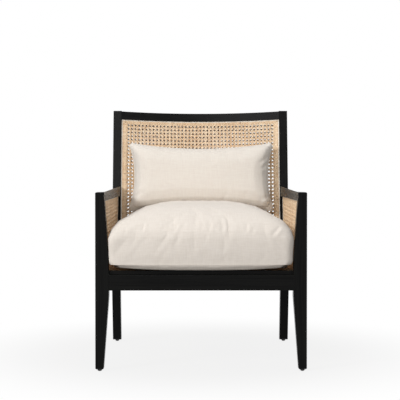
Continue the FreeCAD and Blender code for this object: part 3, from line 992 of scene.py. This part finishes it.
@dataclass
class CanedBack:
    """The reclined, bowed back: its cane in two layers."""

    setback: float = 613 * MM
    bend: float = 270 * MM
    recline: float = RECLINE
    radius: float = 1093 * MM
    bow: float = 44 * MM
    half_width: float = 311.2 * MM
    low: float = 113.44 * MM
    high: float = 603.20 * MM
    reed: float = 4.0 * MM
    under_reed: float = 0.3 * MM
    front_depth: float = 5.6 * MM
    rear_depth: float = 22.4 * MM
    front_pitch: tuple = (14.1 * MM, 14.1 * MM)
    rear_pitch: tuple = (14.265 * MM, 14.5 * MM)
    rear_shift: tuple = (1.75 * MM, 9.4 * MM)
    border: tuple = (20.6 * MM, 18 * MM, 10 * MM, 18 * MM)

    def place(self, depth: float, outward: int) -> Place:
        """Gives the function that puts panel coordinates on the back.

        Args:
            depth: the layer's middle, behind the bowed front face.
            outward: -1 where the skin faces the sitter, and 1 where it faces the rear.

        Returns:
            A function from an (n, 3) array of across, up and out to the chair's frame.
        """
        def placed(points: np.ndarray) -> np.ndarray:
            """Puts panel coordinates in the chair's frame.

            Args:
                points: an (n, 3) array.

            Returns:
                Another like it.
            """
            angle = points[:, 0] / self.radius
            reach = self.radius + depth + outward * points[:, 2]
            level = self.bow - self.radius + reach * np.cos(angle)
            along, over = math.cos(self.recline), math.sin(self.recline)
            y = FRONT_Y + self.setback + level * along + points[:, 1] * over
            z = self.bend - level * over + points[:, 1] * along
            return np.column_stack([reach * np.sin(angle), y, z])
        return placed

    def build(self, materials: tuple) -> list[bpy.types.Object]:
        """Weaves both layers.

        Args:
            materials: the cane's skin and its split side.

        Returns:
            The open part and the border of each layer.
        """
        half, low, high = self.half_width, self.low, self.high
        outline = [(-half, low), (half, low), (half, high), (-half, high)]
        corners = inset(outline, [self.reed - self.under_reed] * 4)
        first_row = high - self.reed - self.border[2]
        front_origin = (self.front_pitch[0] / 2, first_row)
        rear_origin = (self.rear_shift[0], first_row + self.rear_shift[1])
        made = []
        for node, depth, outward, pitch, origin, seed in (
            ("back_cane_front", self.front_depth, -1, self.front_pitch, front_origin, 11),
            ("back_cane_rear", self.rear_depth, 1, self.rear_pitch, rear_origin, 23),
        ):
            weave = CaneWeave(corners, pitch, origin, seed, self.border)
            made += weave.build(node, self.place(depth, outward), materials, outward > 0)
        return made


@dataclass
class CanedSide:
    """One side of the chair: its cane in two layers under the arm."""

    hand: int
    half_front: float = HALF_FRONT
    taper: float = SIDE_TAPER
    outline: tuple = (
        (40.7 * MM, 325 * MM), (623.9 * MM, 325 * MM), (670.4 * MM, 564.5 * MM), (40.7 * MM, 572 * MM),
    )
    reed: float = 4.0 * MM
    under_reed: float = 0.3 * MM
    outer_depth: float = 9.6 * MM
    inner_depth: float = 20.4 * MM
    pitch: float = 14.1 * MM
    outer_column: float = 332 * MM
    inner_column: float = 338 * MM
    inner_rise: float = 3 * MM

    def place(self, depth: float, outward: int) -> Place:
        """Gives the function that puts panel coordinates on the side.

        Args:
            depth: the layer's middle, inward of the outer line.
            outward: -1 where the skin faces out, and 1 where it faces the sitter.

        Returns:
            A function from an (n, 3) array of back, up and out to the chair's frame.
        """
        def placed(points: np.ndarray) -> np.ndarray:
            """Puts panel coordinates in the chair's frame.

            Args:
                points: an (n, 3) array.

            Returns:
                Another like it.
            """
            inward = depth + outward * points[:, 2]
            x = self.half_front - inward * math.cos(self.taper) - points[:, 0] * math.sin(self.taper)
            y = FRONT_Y - inward * math.sin(self.taper) + points[:, 0] * math.cos(self.taper)
            return np.column_stack([self.hand * x, y, points[:, 1]])
        return placed

    def build(self, materials: tuple) -> list[bpy.types.Object]:
        """Weaves both layers.

        Args:
            materials: the cane's skin and its split side.

        Returns:
            The open part and the border of each layer.
        """
        word = "right" if self.hand > 0 else "left"
        corners = inset(list(self.outline), [self.reed - self.under_reed] * 4)
        middle = (self.outline[0][1] + self.outline[3][1]) / 2
        made = []
        for layer, depth, outward, origin, seed in (
            ("outer", self.outer_depth, -1, (self.outer_column, middle), 31),
            ("inner", self.inner_depth, 1, (self.inner_column, middle + self.inner_rise), 47),
        ):
            weave = CaneWeave(corners, (self.pitch, self.pitch), origin, seed + self.hand)
            flip = (outward > 0) != (self.hand > 0)
            made += weave.build(f"side_cane_{layer}_{word}", self.place(depth, outward), materials, flip)
        return made


# Woodwork

@dataclass
class Woodwork:
    """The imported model's wooden parts, reeds and glides, which keep their own shape."""

    stained: dict = field(default_factory=lambda: {
        Grain.UPRIGHT: ("front_leg_left", "front_leg_right", "rear_post_left", "rear_post_right"),
        Grain.ACROSS: (
            # The front seat strip shows under the seat's front, so it is stained like the frame; its near black
            # also stands in for the shade in that gap.
            "front_seat_rail", "rear_seat_rail", "front_seat_strip", "back_top_rail", "back_lower_rail",
        ),
        Grain.FORE_AND_AFT: ("arm_left", "arm_right", "side_seat_rail_left", "side_seat_rail_right"),
    })
    bare: dict = field(default_factory=lambda: {
        Grain.ACROSS: ("seat_slats", "corner_blocks"),
        Grain.FORE_AND_AFT: ("slat_cleat_left", "slat_cleat_right"),
    })
    reeds: tuple = (
        "back_reeds_front", "back_reeds_rear", "side_reeds_outer_left", "side_reeds_outer_right",
        "side_reeds_inner_left", "side_reeds_inner_right",
    )

    def dress(self) -> None:
        """Gives every wooden part, reed and glide its finish."""
        for grain, names in self.stained.items():
            self.finish(names, StainedOak(grain).material())
        for grain, names in self.bare.items():
            self.finish(names, SawnBeech(grain).material())
        self.finish(self.reeds, ReedSpline().material())
        self.finish(("glides",), MouldedNylon().material())

    def finish(self, names: Iterable[str], material: bpy.types.Material) -> None:
        """Puts one material on the named nodes.

        Args:
            names: the nodes.
            material: their material.
        """
        for name in names:
            mesh = frame["nodes"][name].data
            mesh.materials.clear()
            mesh.materials.append(material)
            log.info("%s finished in %s", name, material.name)


@dataclass
class WoodScrews:
    """Countersunk screws with a cross recess, driven flush."""

    head: float = 4.0 * MM
    skirt: float = 0.6 * MM
    face_share: float = 0.88
    recess: float = 2.6 * MM
    arm: float = 0.55 * MM
    lip: float = 0.1 * MM
    depth: float = 1.4 * MM
    floor_share: float = 0.75
    proud: float = 0.35 * MM
    around: int = 24
    arm_share: float = 1.2
    least_off: float = 0.2
    least_along: float = 0.7

    def rings(self) -> list[np.ndarray]:
        """Gives the head's rings, with its axis along Z.

        Returns:
            An (n, 3) array for each, from the rim in to the floor of the recess.
        """
        turn = np.arange(self.around) * 2 * math.pi / self.around
        circle = np.column_stack([np.cos(turn), np.sin(turn)])
        along, off = np.abs(circle).max(axis=1), np.abs(circle).min(axis=1)
        in_arm = off * self.recess < self.arm * self.arm_share
        cross = np.where(in_arm, self.recess, self.arm / np.maximum(off, self.least_off))
        cross = np.minimum(cross, self.recess) / np.maximum(along, self.least_along)
        level = np.ones(self.around)
        return [np.column_stack([circle * radius[:, None], level * height]) for radius, height in (
            (level * self.head, -self.skirt),
            (level * self.head, 0.0),
            (level * self.head * self.face_share, self.proud),
            (cross, self.proud + self.lip),
            (cross * self.floor_share, self.proud - self.depth),
        )]

    def build(self, name: str, places: Spots, material: bpy.types.Material) -> bpy.types.Object:
        """Sets a screw at each place.

        Args:
            name: the object's name.
            places: for each screw, the middle of its head and the way that it faces.
            material: the steel.

        Returns:
            The object.
        """
        rings = self.rings()
        shape = np.concatenate(rings)
        edge = np.arange(self.around // 2 - 1)
        recess_floor = np.stack([edge, edge + 1, self.around - 2 - edge, self.around - 1 - edge], axis=1)
        last = (len(rings) - 1) * self.around
        faces = np.concatenate([tube_faces(len(rings), self.around), last + recess_floor])
        points, quads = [], []
        for number, (middle, out) in enumerate(places):
            turned = np.array(out.to_track_quat("Z", "Y").to_matrix())
            points.append(shape @ turned.T + np.array(middle))
            quads.append(faces + number * len(shape))
        piece = mesh_object(name, np.concatenate(points), np.concatenate(quads), material)
        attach(piece, FRAME_BODY)
        return piece


@dataclass
class SeatScrews:
    """The screws that hold the slats, the cleats and the corner blocks."""

    slats: int = 9
    slat_width: float = 45 * MM
    slat_half_length: float = 308.5 * MM
    slat_end: float = 2 * MM
    cleat_thickness: float = 18 * MM
    cleat_end: float = 30 * MM
    cleat_screws: int = 5
    block_inset: float = 22 * MM

    def in_slats(self) -> Spots:
        """Where the slats are screwed down: one screw at each end of each slat.

        Returns:
            The middle of each head and the way that it faces.
        """
        low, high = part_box("seat_slats")
        step = (high.y - low.y - self.slat_width) / (self.slats - 1)
        places = []
        for row in range(self.slats):
            back = self.slat_width / 2 + row * step
            x = self.slat_half_length - back * math.tan(SIDE_TAPER) - self.slat_end
            places += [(Vector((hand * x, low.y + back, high.z)), Vector((0, 0, 1))) for hand in (-1, 1)]
        return places

    def in_cleats(self) -> Spots:
        """Where the cleats are screwed to the side rails, along the inner face of each.

        Returns:
            The middle of each head and the way that it faces.
        """
        low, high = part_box("slat_cleat_right")
        rear_end = high.y - self.cleat_thickness * math.sin(SIDE_TAPER)
        step = (rear_end - low.y - 2 * self.cleat_end) / (self.cleat_screws - 1)
        places = []
        for row in range(self.cleat_screws):
            y = low.y + self.cleat_end + row * step
            x = low.x + (rear_end - y) * math.tan(SIDE_TAPER)
            for hand in (-1, 1):
                facing = Vector((-hand * math.cos(SIDE_TAPER), -math.sin(SIDE_TAPER), 0))
                places.append((Vector((hand * x, y, (low.z + high.z) / 2)), facing))
        return places

    def in_blocks(self) -> Spots:
        """Where the corner blocks are screwed to the seat frame: one in the underside of each.

        Returns:
            The middle of each head and the way that it faces.
        """
        low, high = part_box("corner_blocks")
        x, y = high.x - self.block_inset, (low.y + self.block_inset, high.y - self.block_inset)
        return [(Vector((hand * x, level, low.z)), Vector((0, 0, -1))) for hand in (-1, 1) for level in y]

    def build(self, steel: bpy.types.Material) -> None:
        """Sets all the screws.

        Args:
            steel: their material.
        """
        for name, places in (
            ("slat_screws", self.in_slats()),
            ("cleat_screws", self.in_cleats()),
            ("corner_block_screws", self.in_blocks()),
        ):
            log.info("%s: %d screws", WoodScrews().build(name, places, steel).name, len(places))


# Cushions

@dataclass
class Fold:
    """A crease in the front of the cloth: a valley with a soft ridge beside it.

    Its ends are given across and up, and it fades out at both. How far it is at its full depth,
    either side of its middle, and how it fades are shares of its length. The ridge's place and
    width are shares of the valley's width, and its height is one of the depth.
    """

    start: tuple[float, float]
    end: tuple[float, float]
    depth: float
    width: float
    level_half: float = 0.2
    fade: float = 0.16
    ridge_height: float = 0.55
    ridge_place: float = 2.1
    ridge_width: float = 1.1

    def shift(self, points: np.ndarray) -> np.ndarray:
        """How far each point moves along its normal.

        Args:
            points: an (n, 3) array.

        Returns:
            The n distances, negative in the valley.
        """
        a, b = np.array(self.start), np.array(self.end)
        length = np.linalg.norm(b - a)
        run = (b - a) / length
        rel = points[:, [0, 2]] - a
        gap = rel @ np.array([-run[1], run[0]])
        beyond = np.clip(np.abs(rel @ run / length - 0.5) - self.level_half, 0, None)
        valley = -bump_of(gap, 0.0, self.width)
        ridge = self.ridge_height * bump_of(gap, self.ridge_place * self.width, self.ridge_width * self.width)
        return self.depth * bump_of(beyond, 0.0, self.fade) * (valley + ridge)


def folds_at(*marks: tuple[float, ...]) -> tuple[Fold, ...]:
    """Makes folds from a table.

    Args:
        *marks: for each, its start and its end in metres, and its depth and width in millimetres.

    Returns:
        The folds.
    """
    return tuple(Fold((x0, z0), (x1, z1), depth * MM, width * MM) for x0, z0, x1, z1, depth, width in marks)


# The creases along the seat's front roll, and at its right front corner
SEAT_FOLDS = folds_at(
    (-0.246, 0.486, -0.247, 0.460, 1.0, 4.0),
    (-0.193, 0.498, -0.190, 0.466, 1.9, 3.8),
    (-0.124, 0.494, -0.122, 0.470, 1.0, 4.4),
    (-0.084, 0.498, -0.083, 0.466, 1.5, 4.4),
    (-0.070, 0.454, -0.071, 0.428, 0.9, 4.4),
    (0.004, 0.506, 0.005, 0.466, 1.2, 4.4),
    (0.022, 0.462, 0.024, 0.436, 1.0, 4.0),
    (0.032, 0.502, 0.031, 0.468, 1.9, 4.4),
    (0.066, 0.514, 0.079, 0.464, 3.2, 4.6),
    (0.153, 0.498, 0.155, 0.466, 1.9, 4.4),
    (0.176, 0.484, 0.178, 0.460, 1.0, 3.6),
    (0.267, 0.488, 0.240, 0.458, 3.6, 4.8),
)

# The creases that run in from the pillow's right edge, and one at its lower left
PILLOW_FOLDS = folds_at(
    (0.264, 0.722, 0.226, 0.690, 2.0, 5.0),
    (0.258, 0.690, 0.230, 0.668, 1.4, 5.0),
    (0.262, 0.566, 0.226, 0.552, 2.0, 6.0),
    (-0.256, 0.560, -0.214, 0.590, 2.0, 6.0),
)


@dataclass
class FrontHem:
    """How the seat settles where it stands out in front of the legs and the rail.

    The narrow roll below the seam is deepest in the middle and shallow at both corners. The front
    has slid a little to one side, and its corners have swollen round the legs' edges.
    """

    seam_level: float = SEAT_SEAM
    legs_face: float = FRONT_Y
    roll_reach: float = 75 * MM
    roll_start: float = 20 * MM
    half_width: float = 300 * MM
    middle_share: float = 0.9
    corner_loss: float = 0.55
    corner_round: float = 24 * MM
    corner_width: float = 40 * MM
    round_start: float = 14 * MM
    round_end: float = 0.98
    swell_reach: float = 16 * MM
    slide: float = -4.6 * MM
    swell: float = 0.0088

    def shaped(self, points: np.ndarray) -> np.ndarray:
        """Draws up the points below the seam, and spreads those in front of the legs.

        Args:
            points: an (n, 3) array.

        Returns:
            The points in their new places.
        """
        x, y, z = points.T
        out = smooth((self.legs_face + self.roll_start + self.roll_reach - y) / self.roll_reach)
        share = self.middle_share - self.corner_loss * np.clip(np.abs(x) / self.half_width, 0, 1) ** 3
        below = np.minimum(z - self.seam_level, 0)
        front = smooth((self.legs_face + self.swell_reach / 2 - y) / self.swell_reach)
        turned = np.clip((self.seam_level + self.round_start - z) / self.corner_round, 0, self.round_end)
        inward = self.corner_round * (1 - np.sqrt(1 - turned * turned))
        at_corner = smooth((np.abs(x) - self.half_width + self.corner_width) / self.corner_width) * out
        moved = points.copy()
        moved[:, 0] += front * (self.slide + self.swell * x) - np.sign(x) * at_corner * inward
        moved[:, 2] += below * (share - 1) * out
        return moved


@dataclass(frozen=True)
class Cloth:
    """A cushion's cloth and the pressure of its filling, in Blender's units."""

    pressure: float = 4.0
    spare: float = 0.012
    mass: float = 0.3
    stretch: float = 15
    shear: float = 5
    bending: float = 0.5
    quality: int = 5
    frames: int = 20
    farthest: float = 26 * MM

    def blow_up(self, piece: bpy.types.Object, held: np.ndarray) -> None:
        """Swells the cloth between the places where it is held.

        Args:
            piece: the cushion.
            held: which vertices stay where they are.
        """
        before = read_points(piece.data)
        group = piece.vertex_groups.new(name="held")
        group.add(np.flatnonzero(held).tolist(), 1.0, "REPLACE")
        modifier = piece.modifiers.new("cloth", "CLOTH")
        for name, value in (
            ("use_pressure", True), ("uniform_pressure_force", self.pressure), ("vertex_group_mass", "held"),
            ("shrink_min", -self.spare), ("quality", self.quality), ("mass", self.mass),
            ("tension_stiffness", self.stretch), ("compression_stiffness", self.stretch),
            ("shear_stiffness", self.shear), ("bending_stiffness", self.bending),
        ):
            setattr(modifier.settings, name, value)
        modifier.settings.effector_weights.gravity = 0
        modifier.point_cache.frame_start = 1
        modifier.point_cache.frame_end = self.frames
        for step in range(1, self.frames + 1):
            bpy.context.scene.frame_set(step)
        blown = read_points(piece.evaluated_get(bpy.context.evaluated_depsgraph_get()).data)
        piece.modifiers.clear()
        piece.vertex_groups.clear()
        bpy.context.scene.frame_set(1)
        move = blown - before
        size = np.linalg.norm(move, axis=1, keepdims=True)
        write_points(piece.data, before + move * np.minimum(1, self.farthest / np.maximum(size, TINY)))


@dataclass
class Cushion:
    """A stuffed cushion, blown up by cloth simulation from a slightly smaller form.

    Its seam and the face that it rests on are held, the cloth between them swells and puckers, and
    its large form then goes back to that of its solid.
    """

    node: str
    body: str
    slot: str
    finish: WashedLinen
    fill: float
    voxel: float
    seam_normal: tuple[float, float, float]
    seam_level: Optional[float] = None
    rest_band: float = 0.0
    cloth: Cloth = Cloth()
    smooth_rounds: int = 2
    smooth_step: float = 0.5
    start_inset: float = 7 * MM
    seam_band: float = 4 * MM
    seam_ease: float = 30 * MM
    broad_rounds: int = 60
    pucker: float = 0.45
    sunk: float = 0.6 * MM
    relax_rounds: int = 60
    relax_step: float = 0.5
    relax_above: Optional[float] = None
    folds: tuple = ()
    fold_facing: float = 2.5
    hem: Optional[FrontHem] = None
    ears: float = 0.0
    proud: float = 3.0 * MM
    skin: float = 0.2 * MM
    free_way: tuple[float, float, float] = (0.0, -0.8, 0.6)
    end_facing: float = 0.2

    def build(self) -> bpy.types.Object:
        """Forms, inflates and creases the cushion.

        Returns:
            The cushion, which stands for its CAD solid.
        """
        source = frame["nodes"][self.node]
        bounds = surface_of(source.data)
        piece = bpy.data.objects.new(f"{self.node}_cloth", source.data.copy())
        bpy.context.scene.collection.objects.link(piece)
        apply_modifier(piece, "REMESH", mode="VOXEL", voxel_size=self.voxel, use_smooth_shade=True)
        apply_modifier(piece, "SMOOTH", factor=self.smooth_step, iterations=self.smooth_rounds)
        points = read_points(piece.data)
        write_points(piece.data, np.array([nearest_on(bounds, point)[0] for point in points]))
        self.relax(piece)
        held = self.held(piece.data)
        points = read_points(piece.data)
        ease = np.clip(np.abs(self.from_seam(points)) / self.seam_ease, 0, 1) * ~held
        write_points(piece.data, points - read_normals(piece.data) * (self.start_inset * ease)[:, None])
        self.cloth.blow_up(piece, held)
        self.follow_form(piece, bounds, held)
        apply_modifier(piece, "SUBSURF", levels=1, render_levels=1)
        self.crease(piece)
        if self.ears:
            self.draw_ears(piece, read_points(source.data))
        if self.hem is not None:
            write_points(piece.data, self.hem.shaped(read_points(piece.data)))
        self.keep_inside(piece, bounds)
        piece.data.name = piece.name
        piece.data.shade_smooth()
        piece.data.materials.clear()
        piece.data.materials.append(self.finish.material())
        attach(piece, self.body)
        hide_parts(self.node)
        return piece

    def from_seam(self, points: np.ndarray) -> np.ndarray:
        """Measures from the seam's plane, which is the middle one unless its level is given.

        Args:
            points: an (n, 3) array.

        Returns:
            The n distances.
        """
        level = points @ np.array(self.seam_normal)
        return level - ((level.min() + level.max()) / 2 if self.seam_level is None else self.seam_level)

    def held(self, mesh: bpy.types.Mesh) -> np.ndarray:
        """Finds the vertices on the seam, and those on the underside that the cushion rests on.

        Args:
            mesh: the cushion's.

        Returns:
            True for each of them.
        """
        points = read_points(mesh)
        low = points[:, 2] < points[:, 2].min() + self.rest_band
        return (np.abs(self.from_seam(points)) < self.seam_band) | low

    def relax(self, piece: bpy.types.Object) -> None:
        """Evens out the form away from its seam, so that no edge of the solid's levels shows.

        Args:
            piece: the cushion.
        """
        points = read_points(piece.data)
        if self.relax_above is None:
            share = np.clip(np.abs(self.from_seam(points)) / self.seam_ease, 0, 1)
        else:
            share = np.clip((points[:, 2] - self.relax_above) / (2 * self.seam_ease), 0, 1)
        for _ in range(self.relax_rounds):
            around = np.column_stack([neighbour_mean(piece.data, axis) for axis in points.T])
            points += (around - points) * (self.relax_step * share)[:, None]
        write_points(piece.data, points)

    def follow_form(self, piece: bpy.types.Object, bounds: BVHTree, held: np.ndarray) -> None:
        """Takes the swollen cushion's large form back to the solid's, and leaves its puckers.

        Args:
            piece: the cushion.
            bounds: the solid.
            held: which vertices stayed where they were.
        """
        points = read_points(piece.data)
        away = np.array([nearest_on(bounds, point)[2] for point in points])
        broad = away.copy()
        for _ in range(self.broad_rounds):
            broad = neighbour_mean(piece.data, broad)
            broad[held] = away[held]
        back = broad + (1 - self.pucker) * (away - broad) + self.sunk
        write_points(piece.data, points - read_normals(piece.data) * back[:, None])

    def crease(self, piece: bpy.types.Object) -> None:
        """Presses the folds into the cloth's front.

        Args:
            piece: the cushion.
        """
        points, normals = read_points(piece.data), read_normals(piece.data)
        shift = sum((fold.shift(points) for fold in self.folds), np.zeros(len(points)))
        facing = np.clip(-self.fold_facing * normals[:, 1], 0, 1)
        write_points(piece.data, points + normals * (shift * facing)[:, None])

    def draw_ears(self, piece: bpy.types.Object, solid: np.ndarray) -> None:
        """Draws the four corners out to the solid's own, which remeshing has blunted.

        Args:
            piece: the cushion.
            solid: the solid's points.
        """
        points = read_points(piece.data)
        span = np.ptp(solid, axis=0)
        for across, up in ((-1, -1), (-1, 1), (1, -1), (1, 1)):
            corner = solid[np.argmax(across * solid[:, 0] / span[0] + up * solid[:, 2] / span[2])]
            distance = np.linalg.norm(points - corner, axis=1)
            pull = corner - points[np.argmin(distance)]
            points += pull * np.exp(-((distance / self.ears) ** 2))[:, None]
        write_points(piece.data, points)

    def keep_inside(self, piece: bpy.types.Object, bounds: BVHTree) -> None:
        """Pulls back any vertex that stands too far out of the solid, or at all beside another piece.

        Args:
            piece: the cushion.
            bounds: the solid.
        """
        points = read_points(piece.data)
        free = Vector(self.free_way)
        for index, point in enumerate(points):
            near, normal, away = nearest_on(bounds, point)
            clear = near.y < FRONT_Y or abs(normal.x) < self.end_facing
            allowed = (self.proud * max(0.0, normal.dot(free)) if clear else 0.0) - self.skin
            if away > allowed:
                points[index] = np.array(near + normal * allowed)
        write_points(piece.data, points)


@dataclass
class SeamCord:
    """The narrow raised seam where two panels of cloth are sewn together."""

    cloth: bpy.types.Object
    slot: str
    radius: float = 1.3 * MM
    around: int = 8
    count: int = 480
    ray_start: float = 2.0

    def path(self, origin: np.ndarray, across: np.ndarray, up: np.ndarray) -> np.ndarray:
        """Finds a closed path round the cushion, where rays from its middle leave it.

        Args:
            origin: a point inside it.
            across: one direction of the path's plane.
            up: the other.

        Returns:
            A (count, 3) array.
        """
        tree = surface_of(self.cloth.data)
        found = []
        for step in range(self.count):
            turn = 2 * math.pi * step / self.count
            ray = Vector(across * math.cos(turn) + up * math.sin(turn)).normalized()
            found.append(np.array(tree.ray_cast(Vector(origin) + ray * self.ray_start, -ray)[0]))
        return np.array(found)

    def build(self, name: str, path: np.ndarray) -> bpy.types.Object:
        """Runs the seam round a closed path on the cloth.

        Args:
            name: the object's name.
            path: an (n, 3) array of points on the surface, in order.

        Returns:
            The seam, which rides with its cushion.
        """
        run = np.roll(path, -1, axis=0) - np.roll(path, 1, axis=0)
        run /= np.linalg.norm(run, axis=1, keepdims=True)
        out = path - path.mean(axis=0)
        out -= (out * run).sum(axis=1, keepdims=True) * run
        out /= np.linalg.norm(out, axis=1, keepdims=True)
        turn = (np.arange(self.around) * 2 * math.pi / self.around)[None, :, None]
        round_it = np.cos(turn) * out[:, None, :] + np.sin(turn) * np.cross(run, out)[:, None, :]
        points = (path[:, None, :] + self.radius * round_it).reshape(-1, 3)
        quads = tube_faces(len(path), self.around, closed=True)[:, [0, 3, 2, 1]]
        piece = mesh_object(name, points, quads, self.cloth.data.materials[0])
        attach(piece, body_of(self.cloth)[0])
        return piece


# Studio

@dataclass(frozen=True)
class Softbox:
    """A square lamp: where it stands and points, its side, and its power in watts."""

    name: str
    place: tuple[float, float, float]
    target: tuple[float, float, float]
    size: float
    power: float

    def build(self) -> None:
        """Adds the lamp to the scene."""
        data = bpy.data.lights.new(self.name, "AREA")
        data.shape = "SQUARE"
        data.size = self.size
        data.energy = self.power
        lamp = bpy.data.objects.new(self.name, data)
        lamp.location = self.place
        lamp.rotation_euler = (Vector(self.target) - Vector(self.place)).to_track_quat("-Z", "Y").to_euler()
        bpy.context.scene.collection.objects.link(lamp)


@dataclass
class Studio:
    """A white sweep, a large soft lamp from the left, and the camera."""

    camera_height: float = 0.7496
    camera_distance: float = 4.341
    camera_side: float = -0.0189
    sensor: float = 36
    lens: float = 116.8
    tilt: float = math.radians(1.1)
    turn: float = math.radians(0.2165)
    horizon_shift: float = -0.0675
    middle_shift: float = -0.001
    ambient: float = 0.31
    backdrop: float = 0.90
    floor_side: float = 30.0
    floor_paint: str = "#93918e"
    floor_near: float = 0.86
    fade_start: float = 0.4
    fade_end: float = 1.1
    lamps: tuple[Softbox, ...] = (
        Softbox("key_lamp", (-3.0, -2.9, 2.6), (0.0, 0.0, 0.5), size=0.9, power=100.0),
        Softbox("front_lamp", (-1.5, -5.5, 2.9), (0.0, 0.0, 0.6), size=2.6, power=90.0),
        Softbox("fill_lamp", (2.6, -3.8, 1.8), (0.0, 0.0, 0.5), size=2.4, power=15.0),
        Softbox("top_lamp", (0.0, -0.3, 3.2), (0.0, 0.0, 0.4), size=2.4, power=17.0),
    )

    def build(self) -> None:
        """Makes the floor, the world, the lamps and the camera."""
        self.world()
        self.floor()
        for lamp in self.lamps:
            lamp.build()
        self.camera()

    def seen(self, tree: bpy.types.NodeTree) -> bpy.types.NodeSocket:
        """Tells the rays that show a thing from those that carry its light.

        Args:
            tree: the node tree to work it out in.

        Returns:
            An output that is 1 for rays that are from the camera, mirrored or let through.
        """
        rays = add_node(tree, "ShaderNodeLightPath").outputs
        most = rays["Is Camera Ray"]
        for other in ("Is Glossy Ray", "Is Transmission Ray"):
            most = add_node(tree, "ShaderNodeMath", {0: most, 1: rays[other]}, operation="MAXIMUM").outputs[0]
        return most

    def world(self) -> None:
        """A white surround that lights the chair softly, and most from the backdrop behind it."""
        world = bpy.data.worlds.new("studio")
        bpy.context.scene.world = world
        world.use_nodes = True
        tree = world.node_tree
        tree.nodes.clear()
        place = add_node(tree, "ShaderNodeTexCoord").outputs["Generated"]
        way = add_node(tree, "ShaderNodeSeparateXYZ", {0: place})
        light = add_node(tree, "ShaderNodeMapRange", {
            "Value": way.outputs["Y"], "From Min": -0.1, "From Max": 0.7,
            "To Min": self.ambient, "To Max": self.backdrop,
        }, interpolation_type="SMOOTHSTEP")
        strength = add_node(tree, "ShaderNodeMapRange", {
            "Value": self.seen(tree), "To Min": light.outputs["Result"], "To Max": 1.0,
        }).outputs["Result"]
        back = add_node(tree, "ShaderNodeBackground", {"Color": (1, 1, 1, 1), "Strength": strength})
        add_node(tree, "ShaderNodeOutputWorld", {"Surface": back.outputs["Background"]})

    def floor(self) -> None:
        """A white floor that keeps a faint shadow near the chair and fades to plain white."""
        material, tree, place = blank_material("studio_floor")
        away = add_node(tree, "ShaderNodeVectorMath", {0: place}, operation="LENGTH")
        fade = add_node(tree, "ShaderNodeMapRange", {
            "Value": away.outputs["Value"], "From Min": self.fade_start, "From Max": self.fade_end,
            "To Min": self.floor_near, "To Max": 1.0,
        }, interpolation_type="SMOOTHSTEP").outputs["Result"]
        share = add_node(tree, "ShaderNodeMath", {0: self.seen(tree), 1: fade}, operation="MULTIPLY")
        paint = add_node(tree, "ShaderNodeBsdfDiffuse", {"Color": linear(self.floor_paint)})
        glow = add_node(tree, "ShaderNodeEmission", {"Color": (1, 1, 1, 1), "Strength": 1.0})
        mixed = add_node(tree, "ShaderNodeMixShader", {
            0: share.outputs[0], 1: paint.outputs[0], 2: glow.outputs[0],
        })
        add_node(tree, "ShaderNodeOutputMaterial", {"Surface": mixed.outputs[0]})
        points = self.floor_side * np.array([(-1, -1, 0), (1, -1, 0), (1, 1, 0), (-1, 1, 0)], float)
        mesh_object("studio_floor", points, np.array([[0, 1, 2, 3]]), material)

    def camera(self) -> None:
        """Stands the camera where the photograph was taken from."""
        data = bpy.data.cameras.new("camera")
        data.sensor_width = self.sensor
        data.lens = self.lens
        data.shift_x = self.middle_shift
        data.shift_y = self.horizon_shift
        camera = bpy.data.objects.new("camera", data)
        camera.location = (self.camera_side, FRONT_Y - self.camera_distance, self.camera_height)
        camera.rotation_euler = (math.pi / 2 - self.tilt, 0.0, -self.turn)
        bpy.context.scene.collection.objects.link(camera)
        bpy.context.scene.camera = camera


def main() -> None:
    """Builds and dresses the chair in order."""
    logging.basicConfig(level=logging.INFO, format="%(name)s: %(message)s")
    bpy.context.scene.view_settings.view_transform = "Standard"
    lean, rise = math.cos(RECLINE), math.sin(RECLINE)
    seat = Cushion(
        node="seat_cushion", body=SEAT_BODY, slot="linen_seat",
        # The seat takes the darker linen tones, a painted shade against the pillow's lighter ones.
        finish=WashedLinen("seat"), fill=0.75, voxel=8 * MM,
        seam_normal=(0, 0, 1), seam_level=SEAT_SEAM, rest_band=6 * MM, relax_above=430 * MM,
        folds=SEAT_FOLDS, hem=FrontHem(), proud=7 * MM,
    ).build()
    log.info("seat cushion: %d points", len(seat.data.vertices))
    pillow = Cushion(
        node="lumbar_pillow", body=PILLOW_BODY, slot="linen_pillow",
        finish=WashedLinen("pillow", pale="#e8e1d7", deep="#e3dad0"), fill=0.7, voxel=5.5 * MM,
        seam_normal=(0, lean, -rise), seam_ease=18 * MM, ears=18 * MM, folds=PILLOW_FOLDS,
    ).build()
    log.info("lumbar pillow: %d points", len(pillow.data.vertices))
    points = read_points(pillow.data)
    pillow_middle = (points.min(axis=0) + points.max(axis=0)) / 2
    seat_middle = np.array([0.0, -80 * MM, SEAT_SEAM])
    across, back, up = np.array([1.0, 0, 0]), np.array([0.0, 1, 0]), np.array([0.0, rise, lean])
    for name, cloth, slot, middle, side in (
        ("seat_cushion_seam", seat, "linen_seat", seat_middle, back),
        ("lumbar_pillow_seam", pillow, "linen_pillow", pillow_middle, up),
    ):
        cord = SeamCord(cloth, slot)
        log.info("%s made", cord.build(name, cord.path(middle, across, side)).name)
    Woodwork().dress()
    cane = cane_materials()
    for piece in CanedBack().build(cane) + CanedSide(-1).build(cane) + CanedSide(1).build(cane):
        log.info("%s: %d faces", piece.name, len(piece.data.polygons))
    SeatScrews().build(ZincPlatedSteel().material())
    Studio().build()


if __name__ == "__main__":
    main()
